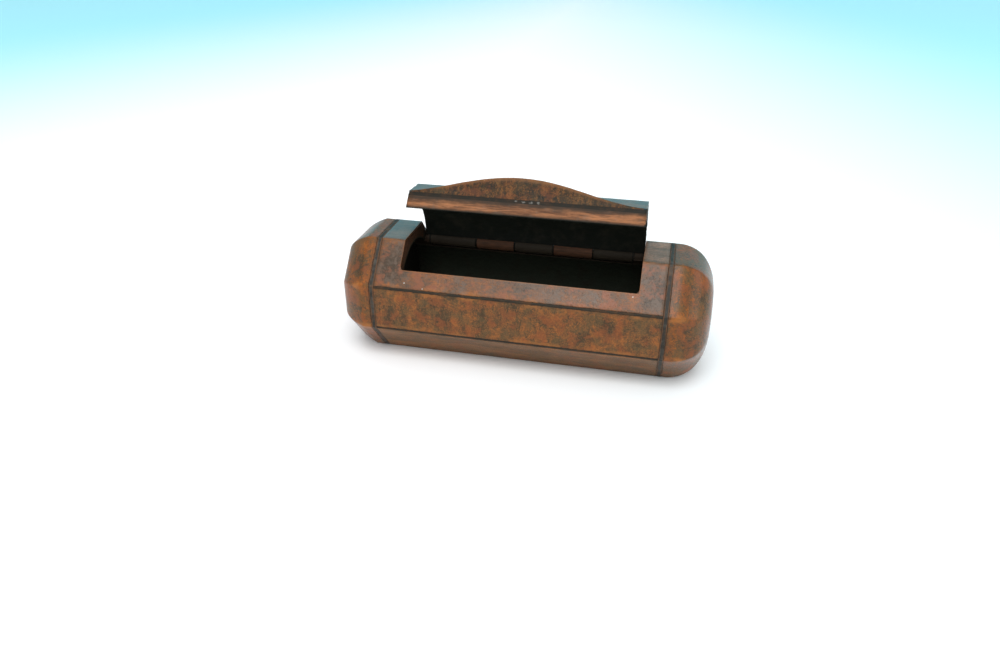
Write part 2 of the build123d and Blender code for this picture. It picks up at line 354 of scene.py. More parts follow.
class Workpiece:
    """A piece on the bench: its mesh in millimetres, in the closed box's frame."""

    def __init__(self, name: str, body: Body, sizes: BoxSizes) -> None:
        """An empty piece.

        Args:
            name: The finished object's name.
            body: The body it rides on.
            sizes: The box's sizes.
        """
        self.name = name
        self.body = body
        self.sizes = sizes
        self.mesh = bmesh.new()

    @classmethod
    def from_node(cls, node: str, body: Body, sizes: BoxSizes) -> "Workpiece":
        """A merged copy of a frame node, with the triangles of its flat faces joined.

        Args:
            node: The frame node.
            body: The body it rides on.
            sizes: The box's sizes.

        Returns:
            The piece, with the lid's pieces turned closed.
        """
        piece = cls(node + "_worked", body, sizes)
        piece.mesh.from_mesh(frame["nodes"][node].data)
        bmesh.ops.scale(piece.mesh, vec=Vector((1, 1, 1)) / MM, verts=piece.mesh.verts)
        if body is Body.LID:
            bmesh.ops.transform(piece.mesh, matrix=sizes.opening().inverted(), verts=piece.mesh.verts)
        bmesh.ops.remove_doubles(piece.mesh, verts=piece.mesh.verts, dist=0.002)
        bmesh.ops.dissolve_limit(
            piece.mesh, angle_limit=math.radians(0.5), verts=piece.mesh.verts, edges=piece.mesh.edges
        )
        return piece

    def break_edges(
        self,
        width: float,
        segments: int = 2,
        sharper_than: float = 35.0,
        chosen: Callable[[bmesh.types.BMEdge], bool] = lambda edge: True,
    ) -> "Workpiece":
        """Rounds the sharp edges.

        Args:
            width: How far the rounding reaches from the edge.
            segments: Faces across the rounding.
            sharper_than: Least turn of the surface, in degrees, that counts as sharp.
            chosen: Picks edges among the sharp ones.

        Returns:
            The piece.
        """
        least = math.radians(sharper_than)
        edges = [
            edge
            for edge in self.mesh.edges
            if edge.is_manifold and edge.calc_face_angle(0.0) > least and chosen(edge)
        ]
        bmesh.ops.bevel(
            self.mesh, geom=edges, offset=width, offset_type="OFFSET", segments=segments,
            profile=0.5, affect="EDGES", clamp_overlap=False, material=-1,
        )
        return self

    def slice(self, direction: Vector, step: float) -> "Workpiece":
        """Cuts the surface by evenly spaced planes, so that it can take wear.

        Args:
            direction: Unit normal of the planes.
            step: About how far apart they lie.

        Returns:
            The piece.
        """
        heights = [direction.dot(vertex.co) for vertex in self.mesh.verts]
        low, high = min(heights), max(heights)
        count = math.ceil((high - low) / step)
        for index in range(1, count):
            bmesh.ops.bisect_plane(
                self.mesh,
                geom=[*self.mesh.verts, *self.mesh.edges, *self.mesh.faces],
                dist=0.001,
                plane_co=direction * (low + (high - low) * index / count),
                plane_no=direction,
            )
        return self

    def draw_out(self, outlines: Sequence[Sequence[Vector]]) -> "Workpiece":
        """Extrudes a closed loop from outline to outline and closes both ends.

        Args:
            outlines: The outlines in order, all with the same number of points.

        Returns:
            The piece.
        """
        count = len(outlines[0])
        loop = list(bmesh.ops.create_circle(self.mesh, cap_ends=True, segments=count, radius=1.0)["verts"])
        for index, outline in enumerate(outlines):
            if index > 0:
                edges = [self.mesh.edges.get(pair) for pair in zip(loop, loop[1:] + loop[:1])]
                made = bmesh.ops.extrude_edge_only(self.mesh, edges=edges)["geom"]
                fresh = {item for item in made if isinstance(item, bmesh.types.BMVert)}
                beside = [[edge.other_vert(vertex) for edge in vertex.link_edges] for vertex in loop]
                loop = [next(vertex for vertex in near if vertex in fresh) for near in beside]
            for vertex, point in zip(loop, outline):
                vertex.co = point
        bmesh.ops.contextual_create(self.mesh, geom=loop)
        return self

    def reshape(self, move: Callable[[Vector], Vector]) -> "Workpiece":
        """Moves every point of the surface by a rule.

        Args:
            move: Gives a point's new place.

        Returns:
            The piece.
        """
        for vertex in self.mesh.verts:
            vertex.co = move(vertex.co)
        return self

    def finish(self, coat: "Finish", *replaced: str, smooth_below: float = 38.0) -> bpy.types.Object:
        """Takes the piece off the bench and puts it on its body.

        Args:
            coat: The finish to dress it with.
            replaced: The frame nodes that it stands for.
            smooth_below: Edges that turn less than this, in degrees, are shaded smooth.

        Returns:
            The finished object.
        """
        bmesh.ops.recalc_face_normals(self.mesh, faces=self.mesh.faces)
        if self.body is Body.LID:
            bmesh.ops.transform(self.mesh, matrix=self.sizes.opening(), verts=self.mesh.verts)
        bmesh.ops.scale(self.mesh, vec=Vector((MM, MM, MM)), verts=self.mesh.verts)
        piece = set_down(self.name, self.mesh, coat.material(self.body))
        piece.data.set_sharp_from_angle(angle=math.radians(smooth_below))
        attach(piece, self.body.value)
        if replaced:
            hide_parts(*replaced)
        return piece


class Signal:
    """A value or vector that changes over the surface; its operators add maths nodes."""

    def __init__(self, graph: "Graph", socket: bpy.types.NodeSocket) -> None:
        """Wraps an output socket of a graph."""
        self.graph = graph
        self.socket = socket

    @property
    def is_vector(self) -> bool:
        """Whether the socket carries a vector."""
        return self.socket.type == "VECTOR"

    def _join(self, operation: str, first: Any, second: Any = None) -> "Signal":
        """Adds one maths node.

        Args:
            operation: The node's operation.
            first: Its first input.
            second: Its second input, if it has one.

        Returns:
            The node's result.
        """
        kind = "ShaderNodeVectorMath" if self.is_vector else "ShaderNodeMath"
        inputs = {0: first} if second is None else {0: first, 1: second}
        return Signal(self.graph, self.graph.node(kind, {"operation": operation}, inputs).outputs[0])

    def __add__(self, other: Any) -> "Signal":
        """The sum."""
        return self._join("ADD", self, other)

    def __radd__(self, other: Any) -> "Signal":
        """The sum, reflected."""
        return self._join("ADD", other, self)

    def __sub__(self, other: Any) -> "Signal":
        """The difference."""
        return self._join("SUBTRACT", self, other)

    def __rsub__(self, other: Any) -> "Signal":
        """The difference, reflected."""
        return self._join("SUBTRACT", other, self)

    def __mul__(self, other: Any) -> "Signal":
        """The product."""
        return self._join("MULTIPLY", self, other)

    def __rmul__(self, other: Any) -> "Signal":
        """The product, reflected."""
        return self._join("MULTIPLY", other, self)

    def __pow__(self, other: Number) -> "Signal":
        """The power."""
        return self._join("POWER", self, other)

    def __abs__(self) -> "Signal":
        """The size without its sign."""
        return self._join("ABSOLUTE", self)

    def least(self, other: Number) -> "Signal":
        """The smaller of two values."""
        return self._join("MINIMUM", self, other)

    def most(self, other: Number) -> "Signal":
        """The larger of two values."""
        return self._join("MAXIMUM", self, other)

    def waves(self, count: float) -> "Signal":
        """Runs from 0 to 1 and back, so many times over each unit of this value."""
        return self._join("SINE", self * (2 * math.pi * count)) * 0.5 + 0.5

    def hypot(self, other: "Signal") -> "Signal":
        """The long side over two short ones."""
        return (self * self + other * other) ** 0.5

    def length(self) -> "Signal":
        """A vector's length."""
        node = self.graph.node("ShaderNodeVectorMath", {"operation": "LENGTH"}, {0: self})
        return Signal(self.graph, node.outputs["Value"])

    def step(self, low: float, high: float) -> "Signal":
        """A smooth step of this value, from 0 at low to 1 at high; low may be the larger.

        Args:
            low: Where the step leaves 0.
            high: Where it reaches 1.

        Returns:
            The step, from 0 to 1.
        """
        settings = {"interpolation_type": "SMOOTHSTEP"}
        ends = (low, high) if low < high else (high, low)
        node = self.graph.node("ShaderNodeMapRange", settings, {0: self, 1: ends[0], 2: ends[1]})
        rising = Signal(self.graph, node.outputs[0])
        return rising if low < high else 1 - rising


class Graph:
    """The nodes of one material."""

    def __init__(self, name: str) -> None:
        """Starts a material with its output.

        Args:
            name: The material's name.
        """
        self.made = bpy.data.materials.new(name)
        self.made.use_nodes = True
        self.tree = self.made.node_tree
        self.tree.nodes.clear()
        self.output = self.tree.nodes.new("ShaderNodeOutputMaterial")

    def node(
        self,
        kind: str,
        settings: Optional[dict[str, Any]] = None,
        sockets: Optional[dict[Any, Any]] = None,
    ) -> bpy.types.Node:
        """Adds a node.

        Args:
            kind: The node's type.
            settings: Its settings, set first; "stops" are a colour ramp's (place, colour) pairs.
            sockets: What its inputs get, by name or number: a number, a colour, a signal or a socket.

        Returns:
            The node.
        """
        node = self.tree.nodes.new(kind)
        for key, value in (settings or {}).items():
            if key == "stops":
                self._set_stops(node.color_ramp, value)
            else:
                setattr(node, key, value)
        for key, value in (sockets or {}).items():
            if isinstance(value, Signal):
                self.tree.links.new(value.socket, node.inputs[key])
            elif isinstance(value, bpy.types.NodeSocket):
                self.tree.links.new(value, node.inputs[key])
            else:
                node.inputs[key].default_value = value
        return node

    @staticmethod
    def _set_stops(ramp: bpy.types.ColorRamp, stops: Sequence[tuple[float, RGB]]) -> None:
        """Gives a colour ramp its stops.

        Args:
            ramp: The ramp.
            stops: Places and colours, in order.
        """
        while len(ramp.elements) < len(stops):
            ramp.elements.new(1.0)
        for element, (place, colour) in zip(ramp.elements, stops):
            element.position = place
            element.color = (*colour, 1.0)

    def ramp(self, value: Signal, stops: Sequence[tuple[float, RGB]]) -> Signal:
        """A colour that follows a value over stops."""
        return Signal(self, self.node("ShaderNodeValToRGB", {"stops": stops}, {0: value}).outputs["Color"])

    def mix(self, factor: Number, first: Any, second: Any, blend: str = "MIX") -> Signal:
        """Blends two colours.

        Args:
            factor: How much of the second shows.
            first: A signal or a colour of three numbers.
            second: A signal or a colour of three numbers.
            blend: How the second is laid on the first.

        Returns:
            The blended colour.
        """
        settings = {"data_type": "RGBA", "blend_type": blend, "clamp_factor": True}
        ends = [end if isinstance(end, Signal) else (*end, 1.0) for end in (first, second)]
        node = self.node("ShaderNodeMix", settings, {0: factor, 6: ends[0], 7: ends[1]})
        return Signal(self, node.outputs[2])

    def grain(
        self, place: Signal, scale: float, detail: float = 3.0, rough: float = 0.55, twist: float = 0.0
    ) -> Signal:
        """Noise from about 0 to 1.

        Args:
            place: Where it is read.
            scale: Its waves per unit of place.
            detail: How many finer octaves it has.
            rough: How strong the finer octaves are.
            twist: How far it is distorted.

        Returns:
            The noise.
        """
        sockets = {
            "Vector": place, "Scale": scale, "Detail": detail, "Roughness": rough, "Distortion": twist,
        }
        return Signal(self, self.node("ShaderNodeTexNoise", {}, sockets).outputs["Fac"])

    def drift(self, place: Signal, scale: float, reach: float) -> Signal:
        """Moves a place about by a slow noise.

        Args:
            place: The place.
            scale: The noise's waves per unit of place.
            reach: How far it moves, half of this each way.

        Returns:
            The moved place.
        """
        wander = self.node("ShaderNodeTexNoise", {}, {"Vector": place, "Scale": scale, "Detail": 2.0})
        ends = {0: wander.outputs["Color"], 1: (0.5, 0.5, 0.5)}
        centred = self.node("ShaderNodeVectorMath", {"operation": "SUBTRACT"}, ends)
        return place + Signal(self, centred.outputs[0]) * (reach, reach, reach)

    def relief(self, height: Signal, depth: float) -> bpy.types.NodeSocket:
        """A bumped normal from a height of 0 to 1.

        Args:
            height: The height.
            depth: What a height of 1 stands for, in millimetres.

        Returns:
            The normal.
        """
        sockets = {"Height": height, "Distance": depth * MM, "Strength": 1.0}
        return self.node("ShaderNodeBump", {}, sockets).outputs["Normal"]

    def shade(self, **sockets: Any) -> bpy.types.Material:
        """Ends the material with its shader.

        Args:
            sockets: The shader's inputs, with _ for a space in their names.

        Returns:
            The material.
        """
        named = {key.replace("_", " "): value for key, value in sockets.items()}
        if isinstance(named.get("Base Color"), tuple):
            named["Base Color"] = (*named["Base Color"], 1.0)
        shader = self.node("ShaderNodeBsdfPrincipled", {}, named)
        self.tree.links.new(shader.outputs[0], self.output.inputs["Surface"])
        return self.made


class Place:
    """Where a point of a finish lies on the closed box, in millimetres."""

    opening_foot: tuple[float, float] = (17.0, 19.0)

    def __init__(self, graph: Graph, sizes: BoxSizes, body: Body) -> None:
        """Reads the object's coordinates and turns the lid's closed.

        Args:
            graph: The material's nodes.
            sizes: The box's sizes.
            body: The body that the finished piece rides on.
        """
        self.graph = graph
        self.sizes = sizes
        self.body = body
        turn = sizes.opening().inverted() if body is Body.LID else Matrix.Identity(4)
        sockets = {
            "Vector": graph.node("ShaderNodeTexCoord").outputs["Object"],
            "Location": turn.to_translation(),
            "Rotation": turn.to_euler(),
            "Scale": Vector((1, 1, 1)) / MM,
        }
        mapped = graph.node("ShaderNodeMapping", {"vector_type": "POINT"}, sockets)
        self.point = Signal(graph, mapped.outputs[0])
        parts = graph.node("ShaderNodeSeparateXYZ", {}, {0: self.point})
        self.x, self.y, self.z = (Signal(graph, parts.outputs[index]) for index in range(3))
        self.out = abs(self.x)
        self.across = abs(self.y)
        self.rise = abs(self.z - sizes.middle)

    def stretched(self, x: float, y: float, z: float) -> Signal:
        """The point with its axes scaled, so that a pattern runs long where the scale is small."""
        return self.point * (x, y, z)

    def past(self, start: Vector, direction: Vector) -> Signal:
        """Distance from a start along a direction in the section."""
        return (self.y - start.y) * direction.y + (self.z - start.z) * direction.z

    def to_strung_arris(self) -> Signal:
        """Distance to the nearest arris that has a string between the bands."""
        return (self.across - self.sizes.half_width).hypot(self.rise - self.sizes.side_half)

    def to_strings(self) -> Signal:
        """Distance to the nearest string, from its edge; the strings end at the bands."""
        past_band = (self.out - self.sizes.band_end).most(0.0)
        return self.to_strung_arris() - self.sizes.string_width + past_band * 6.0

    def in_opening(self) -> Signal:
        """Finds the opening's cut faces.

        Returns:
            1 on the cut faces and 0 elsewhere on the box's outside.
        """
        sizes = self.sizes
        behind = self.past(sizes.box_edge, sizes.cut_rearward)
        between_ends = self.out.step(sizes.aperture_end + 0.1, sizes.aperture_end + 0.03)
        within = behind.step(-0.1, -0.03) * between_ends * self.z.step(*self.opening_foot)
        return within * self.y.step(sizes.hinge.y, sizes.hinge.y - 1.5)

    def behind_lid_front(self) -> Signal:
        """Distance behind the lid's front cut."""
        return self.past(self.sizes.lid_edge, self.sizes.cut_rearward)

    def down_lid_front(self) -> Signal:
        """Distance down the lid's front cut, from its upper edge."""
        return self.past(self.sizes.lid_edge, self.sizes.cut_inward)

    def to_plain_arris(self) -> Signal:
        """Distance to the nearest arris that has no string."""
        return (self.across - self.sizes.half_top).hypot(self.rise - self.sizes.middle)

    def to_bands(self) -> Signal:
        """Distance to the nearer band, from its edge."""
        centre = (self.sizes.panel_end + self.sizes.band_end) / 2
        return abs(self.out - centre) - (self.sizes.band_end - centre)

    def to_lip(self) -> Signal:
        """Finds the opening's edge from the outside of the box or of the lid.

        Returns:
            The distance to it.
        """
        sizes = self.sizes
        below = self.past(sizes.box_edge, sizes.slope_down)
        beside = self.out - sizes.aperture_end
        if self.body is Body.LID:
            return abs(below).least(abs(beside))
        elsewhere = (self.y - sizes.hinge.y).most(0.0) + (sum(self.opening_foot) / 2 - self.z).most(0.0)
        return below.most(0.0).hypot(beside.most(0.0) * 2.0) + elsewhere * 3.0

    def spot(self, centre: Sequence[float], reach: Sequence[float], read: Signal) -> Signal:
        """A soft ellipsoid mask, 1 at its centre and 0 at its reach.

        Args:
            centre: Its centre, in millimetres.
            reach: Its half lengths along X, Y and Z.
            read: Where it is read, often the point drifted by noise.

        Returns:
            The mask.
        """
        inverse = tuple(1 / length for length in reach)
        return ((read - tuple(centre)) * inverse).length().step(1.0, 0.25)


@dataclass(frozen=True)
class Mark:
    """A patch of darker or warmer figure, where the real piece has one."""

    centre: Triple
    reach: Triple
    strength: float = 1.0


@dataclass(frozen=True)
class Finish:
    """What every finish shares."""

    sizes: BoxSizes
    name: str
    slot: Slot = Slot.PLAIN

    def material(self, body: Body) -> bpy.types.Material:
        """The finish's material for a body's pieces, made once."""
        name = f"{self.name}_{body.value}"
        return bpy.data.materials.get(name) or self.lay(Graph(name), body)

    def lay(self, graph: Graph, body: Body) -> bpy.types.Material:
        """Builds the material."""
        raise NotImplementedError


@dataclass(frozen=True)
class Wood(Finish):
    """Waxed old wood, from straight grain to burr.

    Figure, flame and fibre are their patterns' waves per millimetre along X, Y and Z. The tone stops are
    where the four tones stand, from the deepest up. From the first place along X of flames_end to the
    second, the flames give way to clouds. From the upper height of dull_below to the lower, the wax dulls.
    """

    tone_stops: tuple[float, ...] = (0.22, 0.40, 0.54, 0.74)
    light: RGB = (0.27, 0.092, 0.022)
    middle: RGB = (0.165, 0.066, 0.020)
    dark: RGB = (0.103, 0.052, 0.020)
    deepest: RGB = (0.050, 0.031, 0.014)
    red: RGB = (0.22, 0.062, 0.018)
    olive: RGB = (0.100, 0.062, 0.024)
    hues: float = 0.6
    pores: float = 0.45
    balance: float = 0.0
    figure: Triple = (0.30, 0.30, 0.26)
    figure_strength: float = 0.9
    flame: Triple = (0.42, 0.4, 0.10)
    flames_end: tuple[float, float] = (-70.0, -60.0)
    wander: float = 3.2
    curl: float = 0.8
    curl_strength: float = 0.4
    rings: float = 0.16
    veins: float = 0.0
    fibre: Triple = (1.9, 1.9, 0.5)
    fibre_strength: float = 0.5
    speckle: float = 0.6
    shift: Triple = (0.0, 0.0, 0.0)
    dark_marks: tuple[Mark, ...] = ()
    dark_depth: float = 0.15
    warm_marks: tuple[Mark, ...] = ()
    warm_height: float = 0.12
    specks: tuple[Triple, ...] = ()
    wear_colour: RGB = (0.34, 0.125, 0.03)
    wear: float = 1.0
    grime: float = 1.0
    # Colour of the dirt in the seams, also used for the painted shade under the crest on the lid's front
    # cut.
    dirt_and_shade: RGB = (0.016, 0.013, 0.010)
    haze: RGB = (0.045, 0.03, 0.014)
    cut: RGB = (0.045, 0.022, 0.011)
    snuff: RGB = (0.006, 0.0055, 0.004)
    dust: RGB = (0.5, 0.48, 0.43)
    speck_reach: Triple = (0.24, 0.24, 0.24)
    dull_below: tuple[float, float] = (4.0, 11.0)
    rough: float = 0.45
    gloss: float = 0.05
    shine: float = 0.2
    coat_rough: float = 0.25
    coat_index: float = 1.45
    relief: float = 0.07

    def lay(self, graph: Graph, body: Body) -> bpy.types.Material:
        """Builds the wood.

        Args:
            graph: The empty material.
            body: The body that the piece rides on.

        Returns:
            The material.
        """
        place = Place(graph, self.sizes, body)
        moved = place.point + self.shift
        fibres = graph.grain(graph.drift(moved, 0.3, 1.6) * self.fibre, 1.0, 4.0, 0.65)
        fine = graph.grain(graph.drift(moved, 0.7, 0.9), 1.4, 4.0, 0.75)
        slow = graph.grain(moved, 0.07, 2.0)
        tone = self._figure(graph, place, moved) + (slow - 0.5) * 0.25
        tone = tone + (fibres - 0.5) * self.fibre_strength + (fine - 0.5) * self.speckle
        tones = (self.deepest, self.dark, self.middle, self.light)
        colour = graph.ramp(tone, list(zip(self.tone_stops, tones)))
        blush = graph.grain(graph.drift(moved + (5.0, 9.0, 1.0), 0.5, 2.5), 0.28, 4.0, 0.6)
        colour = graph.mix(blush.step(0.5, 0.64) * self.hues, colour, self.red)
        colour = graph.mix(blush.step(0.5, 0.36) * self.hues, colour, self.olive)
        pores = graph.grain(moved, 4.0, 2.0).step(0.6, 0.72)
        colour = graph.mix(pores * self.pores, colour, self.deepest)
        colour = self._rub(graph, place, colour)
        colour, dirt_and_shade = self._soil(graph, place, colour)
        height = fibres * 0.5 + fine * 0.5 - pores * 0.4 - dirt_and_shade * 0.8
        return graph.shade(
            Base_Color=colour,
            Roughness=self.rough + (slow - 0.5) * 0.3 + (fibres - 0.5) * 0.2 + dirt_and_shade * 0.2,
            Specular_IOR_Level=self.shine,
            Coat_Weight=(1 - dirt_and_shade) * (place.z.step(*self.dull_below) * 0.7 + 0.3) * self.gloss,
            Coat_Roughness=self.coat_rough,
            Coat_IOR=self.coat_index,
            Normal=graph.relief(height, self.relief),
        )

    def _figure(self, graph: Graph, place: Place, moved: Signal) -> Signal:
        """The wood's figure: clouds or flames, small swirls ringed by thin lines, and its own marks.

        Args:
            graph: The material.
            place: Where the surface lies.
            moved: Where the patterns are read.

        Returns:
            The tone, about 0.5 on average and darker below.
        """
        wandering = graph.drift(graph.drift(moved, 0.16, self.wander), 0.6, self.wander * 0.4)
        clouds = graph.grain(wandering * self.figure, 1.0, 5.0, 0.62)
        licking = graph.drift(moved, 0.3, 1.6) * self.flame
        flames = graph.grain(licking, 1.0, 5.0, 0.6) * 1.3 - 0.15
        broad = clouds + (flames - clouds) * place.x.step(self.flames_end[1], self.flames_end[0])
        curls = graph.grain(wandering, self.curl, 3.0, 0.65, 2.4)
        lines = graph.grain(wandering, self.curl * 0.4, 1.0).waves(7.0) * curls.step(0.35, 0.6)
        tone = (broad - 0.5) * self.figure_strength + (curls - 0.5) * self.curl_strength
        tone = tone + (lines - 0.4) * self.rings + (0.5 + self.balance)
        ridges = abs(graph.grain(wandering, self.curl * 1.3, 2.0, 0.5, 1.2) - 0.5)
        tone = tone + (ridges.step(0.05, 0.005) - 0.25) * self.veins
        loose = graph.drift(graph.drift(place.point, 0.3, 4.0), 1.1, 2.2)
        for mark in self.dark_marks:
            tone = tone - place.spot(mark.centre, mark.reach, loose) * (self.dark_depth * mark.strength)
        for mark in self.warm_marks:
            tone = tone + place.spot(mark.centre, mark.reach, loose) * (self.warm_height * mark.strength)
        return tone

    def _rub(self, graph: Graph, place: Place, colour: Signal) -> Signal:
        """Lightens the wood beside arrises, strings and the opening's lip, and where a mesh marks a rub.

        Args:
            graph: The material.
            place: Where the surface lies.
            colour: The wood so far.

        Returns:
            The rubbed wood.
        """
        patchy = graph.grain(place.point + (3.0, 17.0, 5.0), 0.16, 3.0)
        ragged = (graph.grain(place.point, 1.6, 3.0) - 0.5) * 0.7
        beside = (place.to_strung_arris() + ragged).step(1.6, 0.4) * patchy.step(0.42, 0.6)
        arris = (place.to_plain_arris() + ragged).step(0.9, 0.2) * patchy.step(0.62, 0.45) * 0.35
        lip = (place.to_lip() + ragged * 0.6).step(0.4, 0.05) * (patchy * 0.8 + 0.3)
        own = Signal(graph, graph.node("ShaderNodeAttribute", {"attribute_name": RUB}).outputs["Fac"])
        rubbed = beside.most(arris).most(lip) * (0.75 * self.wear)
        return graph.mix(rubbed.most(own * (ragged + 0.7)), colour, self.wear_colour)

    def _soil(self, graph: Graph, place: Place, colour: Signal) -> tuple[Signal, Signal]:
        """Lays dirt along the seams, dirt and painted shade from the crest on the lid's front cut, snuff in
        the hollow and dust on the face.

        Args:
            graph: The material.
            place: Where the surface lies.
            colour: The wood so far.

        Returns:
            The soiled wood and the mask of its dirt and painted shade.
        """
        sizes = self.sizes
        uneven = graph.grain(place.point, 0.9, 4.0, 0.65)
        seam = place.to_strings().least(place.to_bands())
        dirt_and_shade = (seam - (uneven - 0.42) * 0.6).step(0.1, -0.04) * (0.85 * self.grime)
        arris = (place.to_plain_arris() - (uneven - 0.5) * 0.5).step(0.16, 0.02) * (0.7 * self.grime)
        dirt_and_shade = dirt_and_shade.most(arris)
        if place.body is Body.LID:
            # Right under the crest and its string: dirt and painted shade from the crest darken the lid's
            # front cut.
            front = place.behind_lid_front().step(0.25, 0.1) * place.down_lid_front().step(-0.1, 0.1)
            dirt_and_shade = dirt_and_shade.most(front * (0.75 + uneven * 0.3))
        else:
            colour = graph.mix(place.in_opening() * (0.55 + uneven * 0.5), colour, self.cut)
        haze = (seam - (uneven - 0.5) * 1.2).step(0.8, 0.0) * (0.35 * self.grime)
        colour = graph.mix(haze, colour, self.haze)
        colour = graph.mix(dirt_and_shade, colour, self.dirt_and_shade)
        in_bore = place.y.hypot(place.z - sizes.middle).step(sizes.bore_radius + 0.1, sizes.bore_radius)
        inside = in_bore * place.out.step(sizes.band_end, sizes.panel_end)
        colour = graph.mix(inside, colour, self.snuff)
        for centre in self.specks:
            colour = graph.mix(place.spot(centre, self.speck_reach, place.point), colour, self.dust)
        return colour, dirt_and_shade.most(inside)


@dataclass(frozen=True)
class Burr(Wood):
    """Burr, with dark veins through its swirls."""

    slot: Slot = Slot.BURR
    veins: float = 0.2


@dataclass(frozen=True)
class StraightWood(Wood):
    """Plain wood whose grain runs along the box."""

    hues: float = 0.0
    figure: Triple = (0.08, 0.35, 0.35)
    wander: float = 1.4
    curl_strength: float = 0.2
    rings: float = 0.0
    fibre: Triple = (0.3, 2.2, 2.2)


@dataclass(frozen=True)
class Inlay(Finish):
    """Black-stained stringing, gone grey and brown where it is rubbed."""

    slot: Slot = Slot.INLAY
    black: RGB = (0.016, 0.014, 0.010)
    grey: RGB = (0.085, 0.068, 0.049)
    brown: RGB = (0.10, 0.048, 0.02)
    chalk: RGB = (0.13, 0.125, 0.11)
    edge: RGB = (0.12, 0.052, 0.02)
    chips: tuple[Triple, ...] = ()
    chip_reach: Triple = (0.55, 0.35, 0.35)
    frayed: float = 0.0
    rough: float = 0.45
    shine: float = 0.25
    relief: float = 0.05

    def lay(self, graph: Graph, body: Body) -> bpy.types.Material:
        """Builds the inlay.

        Args:
            graph: The empty material.
            body: The body that the piece rides on.

        Returns:
            The material.
        """
        place = Place(graph, self.sizes, body)
        cloud = graph.grain(place.point, 0.5, 4.0, 0.6)
        scratch = graph.grain(place.stretched(2.0, 6.0, 6.0), 1.0, 3.0)
        bare = graph.grain(place.point + (9.0, 2.0, 4.0), 0.35, 4.0, 0.65)
        colour = graph.mix(cloud.step(0.42, 0.7) * 0.8 + scratch * 0.15, self.black, self.grey)
        colour = graph.mix(bare.step(0.5, 0.68) * 0.7, colour, self.brown)
        ragged = (graph.grain(place.stretched(1.0, 0.35, 0.35), 1.0, 4.0) - 0.5) * 0.7
        colour = graph.mix((place.to_bands() + ragged).step(-0.3, -0.08) * self.frayed, colour, self.edge)
        loose = graph.drift(place.point, 1.5, 0.9)
        for centre in self.chips:
            colour = graph.mix(place.spot(centre, self.chip_reach, loose), colour, self.chalk)
        return graph.shade(
            Base_Color=colour,
            Roughness=self.rough + cloud * 0.2,
            Specular_IOR_Level=self.shine,
            Normal=graph.relief(scratch * 0.6 + cloud * 0.4, self.relief),
        )


